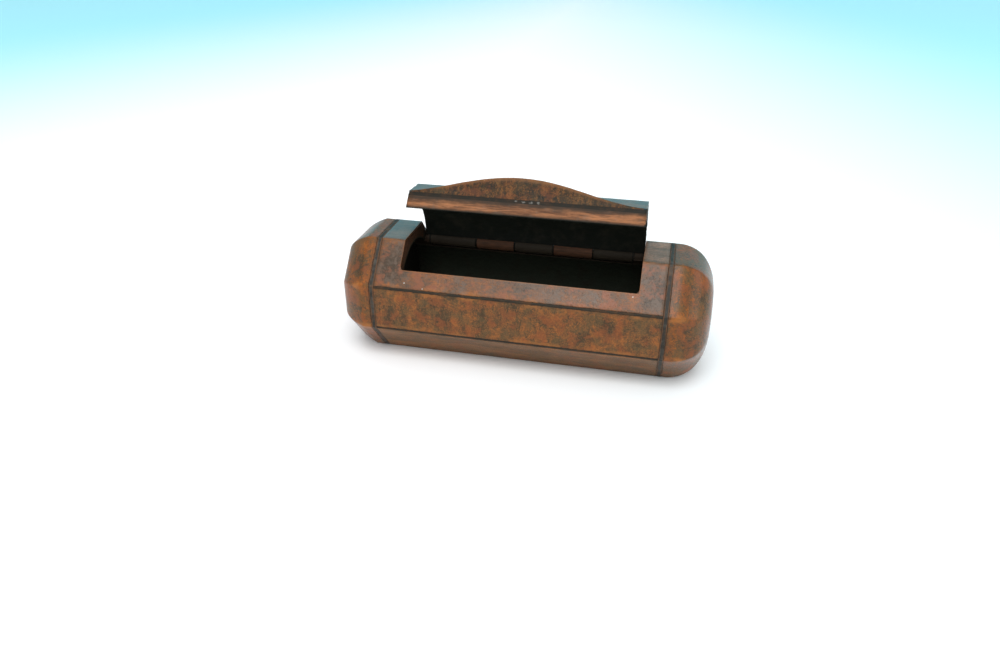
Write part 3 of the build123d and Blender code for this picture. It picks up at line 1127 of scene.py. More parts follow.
@dataclass(frozen=True)
class InsideWood(Finish):
    """The carcase's own wood: snuff-black in the bore, with painted shade round the hinge, redder where it
    was cut and is handled.

    A smudge or glow on the lid's front face is given by its place along the lid, its depth below the face's
    upper edge and its half length. A glow is a bright patch, partly rubbed wood and partly painted
    highlight.
    """

    slot: Slot = Slot.CARCASE
    black: RGB = (0.0065, 0.0080, 0.0052)
    stain: RGB = (0.018, 0.017, 0.011)
    bottom: RGB = (0.018, 0.022, 0.0145)
    brown: RGB = (0.03, 0.02, 0.012)
    knuckle_brown: RGB = (0.045, 0.036, 0.024)
    red: RGB = (0.10, 0.04, 0.018)
    bright: RGB = (0.33, 0.135, 0.054)
    knuckle_red: RGB = (0.17, 0.074, 0.038)
    knuckle_dark: RGB = (0.040, 0.030, 0.021)
    lip: RGB = (0.060, 0.044, 0.031)
    bloom: RGB = (0.2, 0.13, 0.09)
    barrel_edge: tuple[float, float] = (1.95, 1.87)
    hinge_shade: tuple[float, float] = (4.2, 3.2)
    rough: float = 0.5
    shine: float = 0.2
    relief: float = 0.1
    smudges: tuple[Triple, ...] = ((-21.0, 0.8, 6.0), (17.6, 1.0, 3.2), (-4.0, 0.7, 6.5))
    # Bright patches on the lid's front face: partly rubbed wood, partly painted highlight.
    glows: tuple[Triple, ...] = ((-17.5, 2.3, 4.0), (11.6, 2.0, 4.0), (25.0, 2.2, 3.0))

    def lay(self, graph: Graph, body: Body) -> bpy.types.Material:
        """Builds the inside wood.

        Args:
            graph: The empty material.
            body: The body that the piece rides on.

        Returns:
            The material.
        """
        place = Place(graph, self.sizes, body)
        sizes = self.sizes
        fibres = graph.grain(place.stretched(0.3, 3.0, 3.0), 1.0, 4.0, 0.6)
        cloud = graph.grain(place.point, 0.35, 4.0, 0.6)
        depth = place.y.hypot(place.z - sizes.middle)
        from_hinge = (place.y - sizes.hinge.y).hypot(place.z - sizes.hinge.z)
        # Painted shade: the wood within a few millimetres of the hinge's axis, round the knuckles, is
        # darkened towards the bore's black.
        painted_hinge_shade = from_hinge.step(*self.hinge_shade) * 0.85
        bore_and_hinge_shade = depth.step(sizes.bore_radius + 0.7, sizes.bore_radius + 0.05).most(painted_hinge_shade)
        deep = self.bottom if body is Body.BOX else self.black
        hollow = graph.mix(cloud.step(0.45, 0.75), deep, self.stain)
        cut = graph.mix(fibres.step(0.35, 0.7), self.brown, self.red)
        face = self._front_face(graph, place, fibres, cloud) if body is Body.LID else cut
        colour = graph.mix(bore_and_hinge_shade, face, hollow)
        barrel = from_hinge.step(*self.barrel_edge)
        tone = self.knuckle_red if body is Body.BOX else self.knuckle_brown
        turned = graph.mix(fibres.step(0.3, 0.7) * 0.5 + cloud * 0.3, tone, self.knuckle_dark)
        # Painted shade in the gaps between the knuckles: a black line at each knuckle's end.
        for boundary in sizes.knuckle_ends:
            turned = graph.mix(abs(place.x - boundary).step(0.32, 0.12) * 0.95, turned, self.black)
        first, last = sizes.knuckle_ends[0], sizes.knuckle_ends[-1]
        half = (last - first) / 2
        beyond = abs(place.x - (first + last) / 2).step(half, half + 0.2)
        turned = graph.mix(beyond * 0.8, turned, self.stain)
        colour = graph.mix(barrel, colour, turned)
        if body is Body.BOX:
            # Painted highlight: a lighter rim of the ledge's wood where the cove meets the bore, standing
            # for its lit edge.
            at_cove = abs(from_hinge - sizes.cove_radius).step(0.5, 0.15)
            rim = at_cove * abs(depth - sizes.bore_radius).step(0.4, 0.1)
            colour = graph.mix(rim * (cloud + 0.3) * (1 - barrel), colour, self.lip)
        return graph.shade(
            Base_Color=colour,
            Roughness=self.rough + fibres * 0.2,
            Specular_IOR_Level=self.shine,
            Normal=graph.relief(fibres * 0.6 + cloud * 0.4, self.relief),
        )

    def _front_face(self, graph: Graph, place: Place, fibres: Signal, cloud: Signal) -> Signal:
        """The lid's front cut face: darkened under the string by dirt and painted shade from the crest,
        with bright patches towards its lower edge that are partly rubbed wood and partly painted highlight.

        Args:
            graph: The material.
            place: Where the surface lies.
            fibres: The long grain.
            cloud: The slow variation.

        Returns:
            The face's colour.
        """
        streaks = graph.grain(place.stretched(0.11, 1.1, 1.1), 1.0, 5.0, 0.65, 0.5)
        ragged = (graph.grain(place.stretched(0.3, 0.8, 0.8), 1.0, 4.0) - 0.5) * 2.4
        down = place.down_lid_front() + ragged + place.x * 0.008
        colour = graph.mix(streaks.step(0.32, 0.66), self.red, self.bright)
        colour = graph.mix(cloud.step(0.52, 0.7) * 0.5, colour, self.bloom)
        colour = graph.mix(fibres.step(0.55, 0.4) * 0.4, colour, self.brown)
        loose = graph.drift(place.point, 0.8, 1.6)
        # The glows are painted highlight as well as rubbed wood; the smudges are dirt.
        rubs = [(glow, 1.2, 0.6, self.bright) for glow in self.glows]
        rubs += [(smudge, 1.3, 0.8, self.brown) for smudge in self.smudges]
        for (along, depth, reach), thick, strength, tint in rubs:
            centre = self.sizes.lid_edge + self.sizes.cut_inward * depth + ALONG * along
            colour = graph.mix(place.spot(centre, (reach, thick, thick), loose) * strength, colour, tint)
        # Painted shade from the crest, with dirt: the face turns brown and darker towards its upper edge,
        # under the string.
        return graph.mix(down.step(2.8, 1.0) * 0.9, colour, self.brown)


@dataclass(frozen=True)
class Brass(Finish):
    """Dulled brass wire."""

    slot: Slot = Slot.BRASS
    bright: RGB = (0.55, 0.36, 0.13)
    tarnish: RGB = (0.16, 0.10, 0.05)
    rough: float = 0.35
    relief: float = 0.01

    def lay(self, graph: Graph, body: Body) -> bpy.types.Material:
        """Builds the brass.

        Args:
            graph: The empty material.
            body: The body that the piece rides on.

        Returns:
            The material.
        """
        place = Place(graph, self.sizes, body)
        dulled = graph.grain(place.point, 1.4, 4.0, 0.6)
        drawn = graph.grain(place.stretched(0.6, 8.0, 8.0), 1.0, 3.0)
        return graph.shade(
            Base_Color=graph.mix(dulled.step(0.4, 0.65), self.bright, self.tarnish),
            Metallic=1.0,
            Roughness=self.rough + dulled * 0.3,
            Normal=graph.relief(drawn, self.relief),
        )


@dataclass
class Assembly:
    """What every sub-assembly shares: the box's sizes and the wear of hands."""

    sizes: BoxSizes
    wear: HandWear

    def build(self) -> list[bpy.types.Object]:
        """Works and dresses the sub-assembly's pieces."""
        raise NotImplementedError


@dataclass
class Panels(Assembly):
    """The sawn panels glued on the carcase's facets."""

    step: float = 1.0
    edge: float = 0.09

    def build(self) -> list[bpy.types.Object]:
        """Works and dresses every panel of the box.

        Returns:
            The finished panels.
        """
        slope = self.slope_wood()
        lower = StraightWood(
            self.sizes, "lower_wood", light=(0.235, 0.105, 0.040), middle=(0.150, 0.072, 0.028),
            dark=(0.092, 0.052, 0.023), figure=(0.05, 0.4, 0.4), wander=1.2, curl_strength=0.15,
            fibre=(0.22, 2.2, 2.2), fibre_strength=0.7, speckle=0.4, hues=0.3, shift=(40.0, 0.0, 0.0),
        )
        polished = StraightWood(
            self.sizes, "polished_top", light=(0.16, 0.082, 0.042), middle=(0.10, 0.054, 0.029),
            dark=(0.055, 0.034, 0.020), shift=(0.0, 60.0, 0.0), gloss=0.65, shine=0.6, rough=0.36,
        )
        duller = replace(
            polished, name="duller_top", light=(0.30, 0.175, 0.11), middle=(0.19, 0.115, 0.075),
            dark=(0.11, 0.075, 0.05), gloss=0.2, shine=0.3, rough=0.5,
        )
        coats = {
            "top_left_panel": polished,
            "top_right_panel": duller,
            "upper_front_panel": slope,
            "front_panel": self.front_burr(),
            "lower_front_panel": lower,
            "bottom_panel": lower,
            "lower_rear_panel": lower,
            "rear_panel": Burr(self.sizes, "rear_burr", shift=(23.0, 11.0, 4.0)),
            "upper_rear_panel": slope,
        }
        return [self._panel(node, coat) for node, coat in coats.items()]

    def slope_wood(self) -> Wood:
        """The plainer, greyer-red wood of the upper slopes.

        Returns:
            The finish.
        """
        dark_marks = (
            Mark((-28.4, -12.3, 24.7), (3.0, 3.5, 3.5), 0.6),
            Mark((-31.8, -11.0, 26.4), (6.5, 8.0, 8.0), 1.6),
            Mark((-16.0, -13.9, 22.9), (0.9, 0.5, 0.5), 1.6),
            Mark((-4.9, -13.8, 23.0), (0.35, 1.2, 1.2), 1.2),
            Mark((32.2, -11.4, 25.8), (5.0, 6.0, 6.0), 1.9),
            Mark((-1.0, -13.4, 23.4), (4.0, 1.2, 1.2), 0.6),
        )
        warm_marks = (
            Mark((-31.2, -14.7, 22.0), (5.0, 1.3, 1.3), 2.6),
            Mark((11.2, -14.3, 22.5), (7.0, 1.4, 1.4), 0.7),
            Mark((16.1, -15.1, 21.6), (8.0, 0.9, 0.9), 0.7),
            Mark((-34.4, -10.0, 27.3), (1.2, 6.0, 6.0), 0.9),
        )
        return Wood(
            self.sizes, "slope_wood", light=(0.27, 0.093, 0.028), middle=(0.155, 0.068, 0.030),
            dark=(0.10, 0.06, 0.037), deepest=(0.05, 0.033, 0.02), red=(0.23, 0.078, 0.036),
            olive=(0.12, 0.082, 0.058), hues=0.7, balance=0.02, figure=(0.13, 0.22, 0.22), wander=3.4,
            curl_strength=0.3, rings=0.06, veins=0.04, fibre=(0.5, 1.6, 1.6), fibre_strength=0.45,
            speckle=0.5, dark_marks=dark_marks, warm_marks=warm_marks, rough=0.34,
            specks=((-27.6, -14.15, 22.65), (-22.77, -14.84, 21.88), (28.0, -12.6, 24.4)),
        )

    def front_burr(self) -> Burr:
        """The front facet's burr, with its own dark flames and lighter glows.

        Returns:
            The finish.
        """
        flames = (
            (-23.4, 15.7, 3.0, 5.4, 1.25), (-17.5, 13.6, 2.6, 3.2, 1.0), (-8.3, 15.1, 2.0, 4.6, 0.9),
            (-0.1, 19.3, 3.0, 2.2, 1.2), (1.4, 14.6, 2.0, 3.2, 0.9), (-32.3, 12.1, 2.0, 1.8, 0.8),
            (7.1, 15.6, 2.0, 1.5, 0.9), (17.3, 13.3, 2.6, 2.8, 1.0), (22.8, 16.7, 2.8, 3.8, 1.2),
            (30.1, 13.4, 1.8, 1.7, 0.9), (29.9, 19.0, 1.8, 1.3, 0.8), (-11.6, 20.4, 0.7, 1.2, 2.6),
            (-15.6, 20.9, 1.4, 0.8, 2.0),
        )
        glows = (
            (-28.5, 18.5, 3.2, 2.4, 0.9), (-14.0, 18.2, 3.0, 1.8, 0.6), (-4.2, 12.4, 2.4, 2.4, 0.8),
            (9.5, 19.2, 5.0, 1.6, 0.8), (12.6, 13.6, 3.2, 1.8, 0.6), (26.6, 13.0, 2.6, 1.5, 0.9),
        )
        return Burr(
            self.sizes, "front_burr", flames_end=(-16.0, 12.0),
            dark_marks=tuple(self.on_front(*flame) for flame in flames),
            warm_marks=tuple(self.on_front(*glow) for glow in glows),
        )

    def on_front(self, x: float, z: float, along: float, up: float, strength: float) -> Mark:
        """A mark on the front facet, by its place and its half length and half height."""
        return Mark((x, -self.sizes.half_width, z), (along, 3.0, up), strength)

    def _panel(self, node: str, coat: Finish) -> bpy.types.Object:
        """Works one panel: breaks its edges, slices it and wears it.

        Args:
            node: The frame node.
            coat: Its finish.

        Returns:
            The finished panel.
        """
        piece = Workpiece.from_node(node, Body.BOX, self.sizes)
        piece.break_edges(self.edge).slice(ALONG, self.step)
        low, high = millimetres(node)
        flat = high.z - low.z < high.y - low.y
        piece.slice(ACROSS if flat else UP, self.step * 0.7)
        return piece.reshape(self.wear.worn).finish(coat, node)


@dataclass
class Stringing(Assembly):
    """The dark strings along the arrises and the rings between body and caps."""

    string_edge: float = 0.06
    string_step: float = 0.6
    band_edge: float = 0.12
    band_step: float = 0.3
    cross_step: float = 0.7
    sharp: float = 30.0

    def build(self) -> list[bpy.types.Object]:
        """Works and dresses the strings and bands.

        Returns:
            The finished inlay.
        """
        broad = Inlay(self.sizes, "band_inlay", grey=(0.07, 0.062, 0.05), frayed=0.85)
        thin = Inlay(
            self.sizes, "string_inlay", black=(0.026, 0.021, 0.015), grey=(0.036, 0.029, 0.019),
            brown=(0.07, 0.034, 0.015), shine=0.12,
        )
        made = []
        for node in ("front_upper_string", "front_lower_string", "rear_lower_string", "rear_upper_string"):
            piece = Workpiece.from_node(node, Body.BOX, self.sizes)
            piece.break_edges(self.string_edge, sharper_than=self.sharp).slice(ALONG, self.string_step)
            made.append(piece.reshape(self.wear.worn).finish(thin, node))
        for node in ("left_band", "right_band"):
            piece = Workpiece.from_node(node, Body.BOX, self.sizes)
            piece.break_edges(self.band_edge, sharper_than=self.sharp).slice(ALONG, self.band_step)
            piece.slice(ACROSS, self.cross_step).slice(UP, self.cross_step)
            made.append(piece.reshape(self.wear.worn).finish(broad, node))
        return made


@dataclass
class DomedCap(Assembly):
    """A turned and faceted end: crisp arrises at the band that melt into the dome.

    Crisp and soft are the powers that join the facets, at the band and at the dome's middle; a higher one
    leaves sharper arrises. A bevel of 0 leaves the shoulder round and 1 makes it flat. The balance lightens
    or darkens the wood.
    """

    side: Side
    shoulder_radius: float
    end_radius: float
    bevel: float = 0.0
    sector_steps: int = 20
    straight_rings: int = 5
    shoulder_rings: int = 16
    end_rings: int = 14
    crisp: float = 200.0
    soft: float = 60.0
    melt_from: float = 0.54
    balance: float = 0.0

    @property
    def name(self) -> str:
        """The frame node that the cap stands for."""
        return self.side.name.lower() + "_cap"

    @property
    def length(self) -> float:
        """How far the dome stands out from the band."""
        return self.sizes.cap_end - self.sizes.band_end

    @property
    def end_centre(self) -> float:
        """Where the flatter end's arc has its centre, out from the band."""
        return self.length - self.end_radius

    def straight(self, shoulder: float) -> float:
        """Where a straight part gives way to the shoulder, whose arc's centre is that far from the axis."""
        return self.end_centre + math.sqrt((self.end_radius - self.shoulder_radius) ** 2 - shoulder**2)

    def half(self, distance: float, station: float) -> float:
        """A facet's distance from the axis at a station.

        Args:
            distance: The facet's distance at the band.
            station: How far out from the band.

        Returns:
            The distance: straight, over the rounded or bevelled shoulder, then along the flatter end.
        """
        shoulder = distance - self.shoulder_radius
        straight = self.straight(shoulder)
        if station <= straight:
            return distance
        reach = math.hypot(straight - self.end_centre, shoulder)
        join = straight + (straight - self.end_centre) / reach * self.shoulder_radius
        if station <= join:
            rounded = shoulder + math.sqrt(self.shoulder_radius**2 - (station - straight) ** 2)
            joined = shoulder + shoulder / reach * self.shoulder_radius
            flat = distance + (joined - distance) * (station - straight) / (join - straight)
            return rounded + (flat - rounded) * self.bevel
        return math.sqrt(max(self.end_radius**2 - (station - self.end_centre) ** 2, 0.0))

    def stations(self) -> list[float]:
        """Places the rings, close together where the dome turns.

        Returns:
            Their stations, out from the band.
        """
        shoulder = self.sizes.middle - self.shoulder_radius
        straight = self.straight(shoulder)
        turn = math.atan2(straight - self.end_centre, shoulder)
        rim = math.pi / 2 - turn
        made = [straight * index / self.straight_rings for index in range(self.straight_rings + 1)]
        for index in range(1, self.shoulder_rings + 1):
            made.append(straight + self.shoulder_radius * math.sin(turn * index / self.shoulder_rings))
        for index in range(1, self.end_rings):
            made.append(self.end_centre + self.end_radius * math.cos(rim * (1 - index / self.end_rings)))
        return made

    def angles(self) -> list[float]:
        """Spreads the ring's points, close together at the mitres.

        Returns:
            Their angles round the axis.
        """
        corners = sorted(math.atan2(b, -a) for a, b in self.sizes.corners)
        spans = zip(corners, corners[1:] + [corners[0] + 2 * math.pi])
        turns = [math.pi * step / self.sector_steps for step in range(self.sector_steps)]
        shares = [(1 - math.cos(turn)) / 2 for turn in turns]
        return [start + (end - start) * share for start, end in spans for share in shares]

    def ring(self, station: float) -> list[Vector]:
        """The points of the ring at a station.

        Args:
            station: How far out from the band.

        Returns:
            One point for each angle.
        """
        melt = smooth(self.melt_from, 1.0, station / self.length)
        power = self.crisp * (self.soft / self.crisp) ** melt
        facets = [(angle, self.half(distance, station)) for angle, distance in self.sizes.facets]
        points = []
        for angle in self.angles():
            pull = sum(max(math.cos(angle - a), 0.0) ** power * d ** -power for a, d in facets)
            points.append(self.at(station, angle, pull ** (-1 / power)))
        return points

    def at(self, station: float, angle: float, radius: float) -> Vector:
        """The point at a station, an angle round the axis and a distance from it."""
        x = self.side.value * (self.sizes.band_end + station)
        return Vector((x, -radius * math.cos(angle), self.sizes.middle + radius * math.sin(angle)))

    def wood(self) -> Burr:
        """The cap's glossy burr, with its own marks.

        Returns:
            The finish.
        """
        side = self.side.value
        dark_marks = {
            Side.LEFT: (
                Mark((-40.5, -12.0, 25.0), (3.6, 4.0, 4.0), 2.0),
                Mark((-40.0, -15.0, 14.5), (3.0, 3.0, 2.5), 0.8),
                Mark((-39.5, -9.0, 4.0), (4.5, 5.0, 3.5), 0.7),
            ),
            Side.RIGHT: (
                Mark((43.8, -8.5, 24.0), (1.6, 3.5, 3.5), 1.0),
                Mark((40.5, -15.0, 17.5), (2.0, 2.0, 1.6), 1.0),
                Mark((43.0, -13.0, 12.5), (1.6, 2.0, 3.0), 0.9),
            ),
        }
        warm_marks = {
            Side.LEFT: (
                Mark((-39.0, -8.5, 29.0), (3.5, 1.5, 1.5), 1.2),
                Mark((-40.0, -15.3, 20.0), (3.0, 2.0, 1.8), 1.3),
            ),
            Side.RIGHT: (
                Mark((38.5, -14.8, 22.0), (4.0, 1.5, 1.5), 1.2),
                Mark((38.5, -8.2, 28.8), (4.0, 1.2, 1.2), 1.1),
                Mark((42.5, -11.0, 22.5), (2.5, 3.0, 3.0), 0.8),
            ),
        }
        return Burr(
            self.sizes, self.name + "_burr", light=(0.275, 0.084, 0.015), middle=(0.180, 0.057, 0.0115),
            balance=self.balance, figure=(0.28, 0.22, 0.22), figure_strength=0.6, wander=3.6, curl=1.0,
            fibre=(1.2, 0.8, 0.8), shift=(7.0 * side, 31.0, 13.0 * side), dark_marks=dark_marks[self.side],
            warm_marks=warm_marks[self.side], gloss=0.8, coat_index=1.22, shine=0.12, rough=0.38,
        )

    def build(self) -> list[bpy.types.Object]:
        """Draws the cap out ring by ring, from its spigot's end to the middle of its dome.

        Returns:
            The finished cap, alone in its list.
        """
        piece = Workpiece(self.name + "_turned", Body.BOX, self.sizes)
        spigot = self.sizes.spigot_end - self.sizes.band_end
        radius = self.sizes.spigot_radius
        inner = [(spigot, radius * share) for share in (0.35, 0.7, 0.96)]
        inner += [(spigot + 0.3, radius), (spigot / 2, radius), (0.0, radius)]
        rings = [[self.at(s, angle, r) for angle in self.angles()] for s, r in inner]
        rings += [self.ring(station) for station in self.stations()]
        piece.draw_out(rings)
        bmesh.ops.poke(piece.mesh, faces=[face for face in piece.mesh.faces if len(face.verts) > 4])
        return [piece.reshape(self.wear.worn).finish(self.wood(), self.name, smooth_below=50.0)]


@dataclass
class Carcase(Assembly):
    """The bored tube with the box's share of the hinge, and the wire that it turns on."""

    step: float = 1.5

    def build(self) -> list[bpy.types.Object]:
        """Works the carcase and dresses the pin.

        Returns:
            The finished pieces.
        """
        piece = Workpiece.from_node("carcase", Body.BOX, self.sizes)
        piece.slice(ALONG, self.step)
        made = piece.reshape(self.wear.worn).finish(InsideWood(self.sizes, "inside_wood"), "carcase")
        pin = frame["nodes"]["hinge_pin"]
        pin.data.materials.clear()
        pin.data.materials.append(Brass(self.sizes, "pin_brass").material(Body.BOX))
        return [made, pin]


@dataclass
class Lid(Assembly):
    """The lid's own wood, panels and string."""

    edge: float = 0.09
    step: float = 0.8
    cross_step: float = 0.6
    core_step: float = 1.2
    lower_edge: float = 0.45
    fret_reach: float = 0.9
    fret_depth: float = 0.5
    chips: tuple[float, ...] = (-1.9, -0.1, 1.8, 3.6)
    chip_depth: float = 0.45
    near: float = 0.1

    def build(self) -> list[bpy.types.Object]:
        """Works and dresses the lid.

        Returns:
            The finished pieces.
        """
        sheen = StraightWood(
            self.sizes, "lid_sheen", light=(0.16, 0.07, 0.028), middle=(0.10, 0.045, 0.019),
            dark=(0.058, 0.030, 0.014), wear=0.3, gloss=0.6, shine=0.5, rough=0.38,
        )
        made = []
        for node in ("lid_top_panel", "lid_front_panel", "lid_rear_panel"):
            piece = Workpiece.from_node(node, Body.LID, self.sizes)
            piece.break_edges(self.edge).slice(ALONG, self.step).slice(ACROSS, self.cross_step)
            made.append(piece.reshape(self.ragged).finish(sheen, node))
        core = Workpiece.from_node("lid_core", Body.LID, self.sizes)
        core.break_edges(self.lower_edge, segments=4, chosen=self.on_front_lower_edge)
        core.slice(ALONG, self.core_step)
        made.append(core.reshape(self.ragged).finish(InsideWood(self.sizes, "inside_wood"), "lid_core"))
        string = Workpiece.from_node("lid_string", Body.LID, self.sizes)
        string.slice(ALONG, self.step)
        made.append(string.reshape(self.ragged).finish(self.string_finish(), "lid_string"))
        return made

    def string_finish(self) -> Inlay:
        """The lid's string, with the pale chips left in it.

        Returns:
            The finish.
        """
        start = self.sizes.lid_edge + self.sizes.cut_inward * self.chip_depth
        return Inlay(
            self.sizes, "lid_string_inlay", grey=(0.020, 0.016, 0.011), brown=(0.035, 0.02, 0.011),
            chips=tuple((x, start.y, start.z) for x in self.chips), shine=0.12,
        )

    def ragged(self, point: Vector) -> Vector:
        """Wears a point, and frets the lid's two ends.

        Args:
            point: The point of the closed box, in millimetres.

        Returns:
            Where it lies once worn.
        """
        worn = self.wear.worn(point)
        end = self.sizes.lid_end
        near = smooth(end - self.fret_reach, end, abs(point.x))
        near *= 1 - smooth(*self.wear.skin, self.sizes.inset(point))
        fret = max(noise.noise(Vector((0.0, point.y * 0.8, point.z * 0.8 + point.x * 0.1))), 0.0)
        worn.x -= math.copysign(self.fret_depth * near * fret, point.x)
        return worn

    def on_front_lower_edge(self, edge: bmesh.types.BMEdge) -> bool:
        """Finds the edges where the lid's front face meets the hollow.

        Args:
            edge: An edge of the core.

        Returns:
            Whether it is one of them.
        """
        sizes = self.sizes
        for vertex in edge.verts:
            radius = math.hypot(vertex.co.y, vertex.co.z - sizes.middle)
            behind = (vertex.co - sizes.lid_edge).dot(sizes.cut_rearward)
            if abs(radius - sizes.bore_radius) >= self.near or abs(behind) >= self.near:
                return False
        return True


@dataclass
class ThumbCrest(Assembly):
    """The bow-shaped crest along the lid's front edge."""

    height: float = 5.9
    peak: float = -1.5
    margin: float = 0.9
    end_height: float = 0.35
    left_power: float = 0.62
    right_power: float = 0.8
    tip: float = 1.1
    tip_share: float = 0.2
    tip_steps: int = 10
    belly: float = 0.12
    root_share: float = 0.72
    hollow: float = 0.16
    knife_dip: float = 0.06
    thumb_dip: float = 0.05
    stations: int = 110

    @property
    def end(self) -> float:
        """How far the crest reaches from the lid's middle."""
        return self.sizes.lid_end - self.margin

    def rise(self, station: float) -> float:
        """Swells the crest from its ends to its peak.

        Args:
            station: Where along the lid.

        Returns:
            The height there.
        """
        offset = station - self.peak
        run = self.end - self.peak if offset > 0 else self.end + self.peak
        power = self.right_power if offset > 0 else self.left_power
        swell = (1 + math.cos(math.pi * min(abs(offset) / run, 1.0))) / 2
        return self.end_height + (self.height - self.end_height) * swell**power

    def section(self, station: float) -> list[Vector]:
        """The section's outline at a station.

        Args:
            station: Where along the lid.

        Returns:
            The outline: up the front face, over the rounded tip, down the scooped back and under.
        """
        sizes = self.sizes
        height = self.rise(station)
        tip = min(self.tip / 2, self.tip_share * height)
        up, rear = -sizes.cut_inward, sizes.cut_rearward
        foot = sizes.lid_edge + ALONG * station
        root = foot - sizes.slope_down * (self.root_share * height)
        belly = self.belly * smooth(0.5, 4.0, height)
        outline = [
            foot + up * ((height - tip) * share) + rear * (belly * (2 * share - 1) ** 2)
            for share in (0.0, 0.1, 0.25, 0.4, 0.55, 0.7, 0.85)
        ]
        centre = foot + up * (height - tip) + rear * tip
        for index in range(self.tip_steps + 1):
            turn = math.pi * index / self.tip_steps
            eased = rear * belly * 0.6 if index == 0 else Vector()
            outline.append(centre - rear * (tip * math.cos(turn)) + up * (tip * math.sin(turn)) + eased)
        back = outline[-1]
        chord = root - back
        into = Vector((0.0, chord.z, -chord.y)).normalized() * (self.hollow * chord.length * 4)
        for share in (0.15, 0.3, 0.45, 0.6, 0.75, 0.9):
            outline.append(back + chord * share + into * (share * (1 - share)))
        return outline + [root + (foot - root) * share for share in (0.0, 0.25, 0.5, 0.75)]

    def wood(self) -> Burr:
        """The crest's burr, blackened by fingers.

        Returns:
            The finish.
        """
        dark_marks = (
            Mark((-17.3, -12.0, 26.5), (0.45, 0.8, 1.5), 3.0),
            Mark((-15.9, -11.9, 25.9), (0.35, 0.8, 0.8), 3.0),
            Mark((-13.0, -11.9, 26.4), (0.4, 0.8, 1.2), 2.5),
            Mark((-9.0, -12.1, 28.0), (3.0, 1.0, 1.2), 1.0),
            Mark((6.0, -12.0, 26.4), (7.0, 1.0, 1.0), 1.2),
        )
        return Burr(
            self.sizes, "crest_burr", light=(0.145, 0.059, 0.016), middle=(0.058, 0.027, 0.009),
            dark=(0.027, 0.017, 0.007), deepest=(0.012, 0.010, 0.006), hues=0.3, figure=(0.75, 0.3, 0.2),
            figure_strength=1.2, wander=1.6, curl=1.1, speckle=0.5, shift=(3.0, 5.0, 50.0),
            dark_marks=dark_marks, wear_colour=(0.25, 0.105, 0.038), wear=0.0, gloss=0.0, shine=0.15,
        )

    def build(self) -> list[bpy.types.Object]:
        """Draws the crest out along the lid and marks its tip as rubbed.

        Returns:
            The finished crest, alone in its list.
        """
        piece = Workpiece("thumb_crest_carved", Body.LID, self.sizes)
        spots = [-self.end + 2 * self.end * index / self.stations for index in range(self.stations + 1)]
        piece.draw_out([self.section(spot) for spot in spots])
        rubbed = piece.mesh.verts.layers.float.new(RUB)
        for vertex in piece.mesh.verts:
            height = self.rise(vertex.co.x)
            below_tip = height - self.above_foot(vertex.co)
            vertex[rubbed] = smooth(1.1, 0.2, below_tip) * smooth(0.8, 3.0, height)
        return [piece.reshape(self.handled).finish(self.wood(), "thumb_crest", smooth_below=50.0)]

    def above_foot(self, point: Vector) -> float:
        """How far a point stands above the lid's front edge."""
        return (point - self.sizes.lid_edge).dot(-self.sizes.cut_inward)

    def handled(self, point: Vector) -> Vector:
        """Presses the slight dips of the carver's knife and of thumbs into the crest.

        Args:
            point: The point of the closed box, in millimetres.

        Returns:
            Where it lies once handled.
        """
        dip = self.knife_dip * HandWear.chance(point * 0.5) + self.thumb_dip * HandWear.chance(point * 0.16)
        above = smooth(0.3, 2.0, self.above_foot(point))
        return point + self.sizes.cut_inward * (dip * above)


@dataclass(frozen=True)
class View:
    """The picture's own viewpoint, worked out from the box's straight edges."""

    azimuth: float = 12.927
    elevation: float = 29.278
    roll: float = 0.12
    focal_pixels: float = 769.0
    image_width: float = 1000.0
    sensor: float = 36.0
    right_of_origin: float = 6.413
    above_origin: float = -3.654
    distance: float = 206.987
    nearest: float = 10.0

    def set_up(self) -> None:
        """Makes the camera and looks through it."""
        azimuth, elevation = math.radians(self.azimuth), math.radians(self.elevation)
        right = Vector((math.cos(azimuth), math.sin(azimuth), 0.0))
        forward = Vector((-right.y, right.x, 0.0)) * math.cos(elevation) - UP * math.sin(elevation)
        above = right.cross(forward)
        place = -self.right_of_origin * right - self.above_origin * above - self.distance * forward
        data = bpy.data.cameras.new("picture_camera")
        data.sensor_width = self.sensor
        data.lens = self.focal_pixels / self.image_width * self.sensor
        data.clip_start = self.nearest * MM
        camera = link("picture_camera", data)
        turned = Matrix((right, above, -forward)).transposed().to_4x4()
        spin = Matrix.Rotation(math.radians(self.roll), 4, "Z")
        camera.matrix_world = Matrix.Translation(place * MM) @ turned @ spin
        bpy.context.scene.camera = camera


@dataclass(frozen=True)
class Lamp:
    """A soft rectangular lamp."""

    name: str
    place: Triple
    size: float
    watts: float
    colour: RGB = (1.0, 1.0, 1.0)

    def hang(self, aim: Vector) -> None:
        """Hangs the lamp.

        Args:
            aim: The point that it looks at, in metres.
        """
        data = bpy.data.lights.new(self.name, "AREA")
        data.shape = "SQUARE"
        data.size = self.size
        data.energy = self.watts
        data.color = self.colour
        lamp = link(self.name, data)
        lamp.location = self.place
        lamp.rotation_euler = (aim - Vector(self.place)).to_track_quat("-Z", "Y").to_euler()


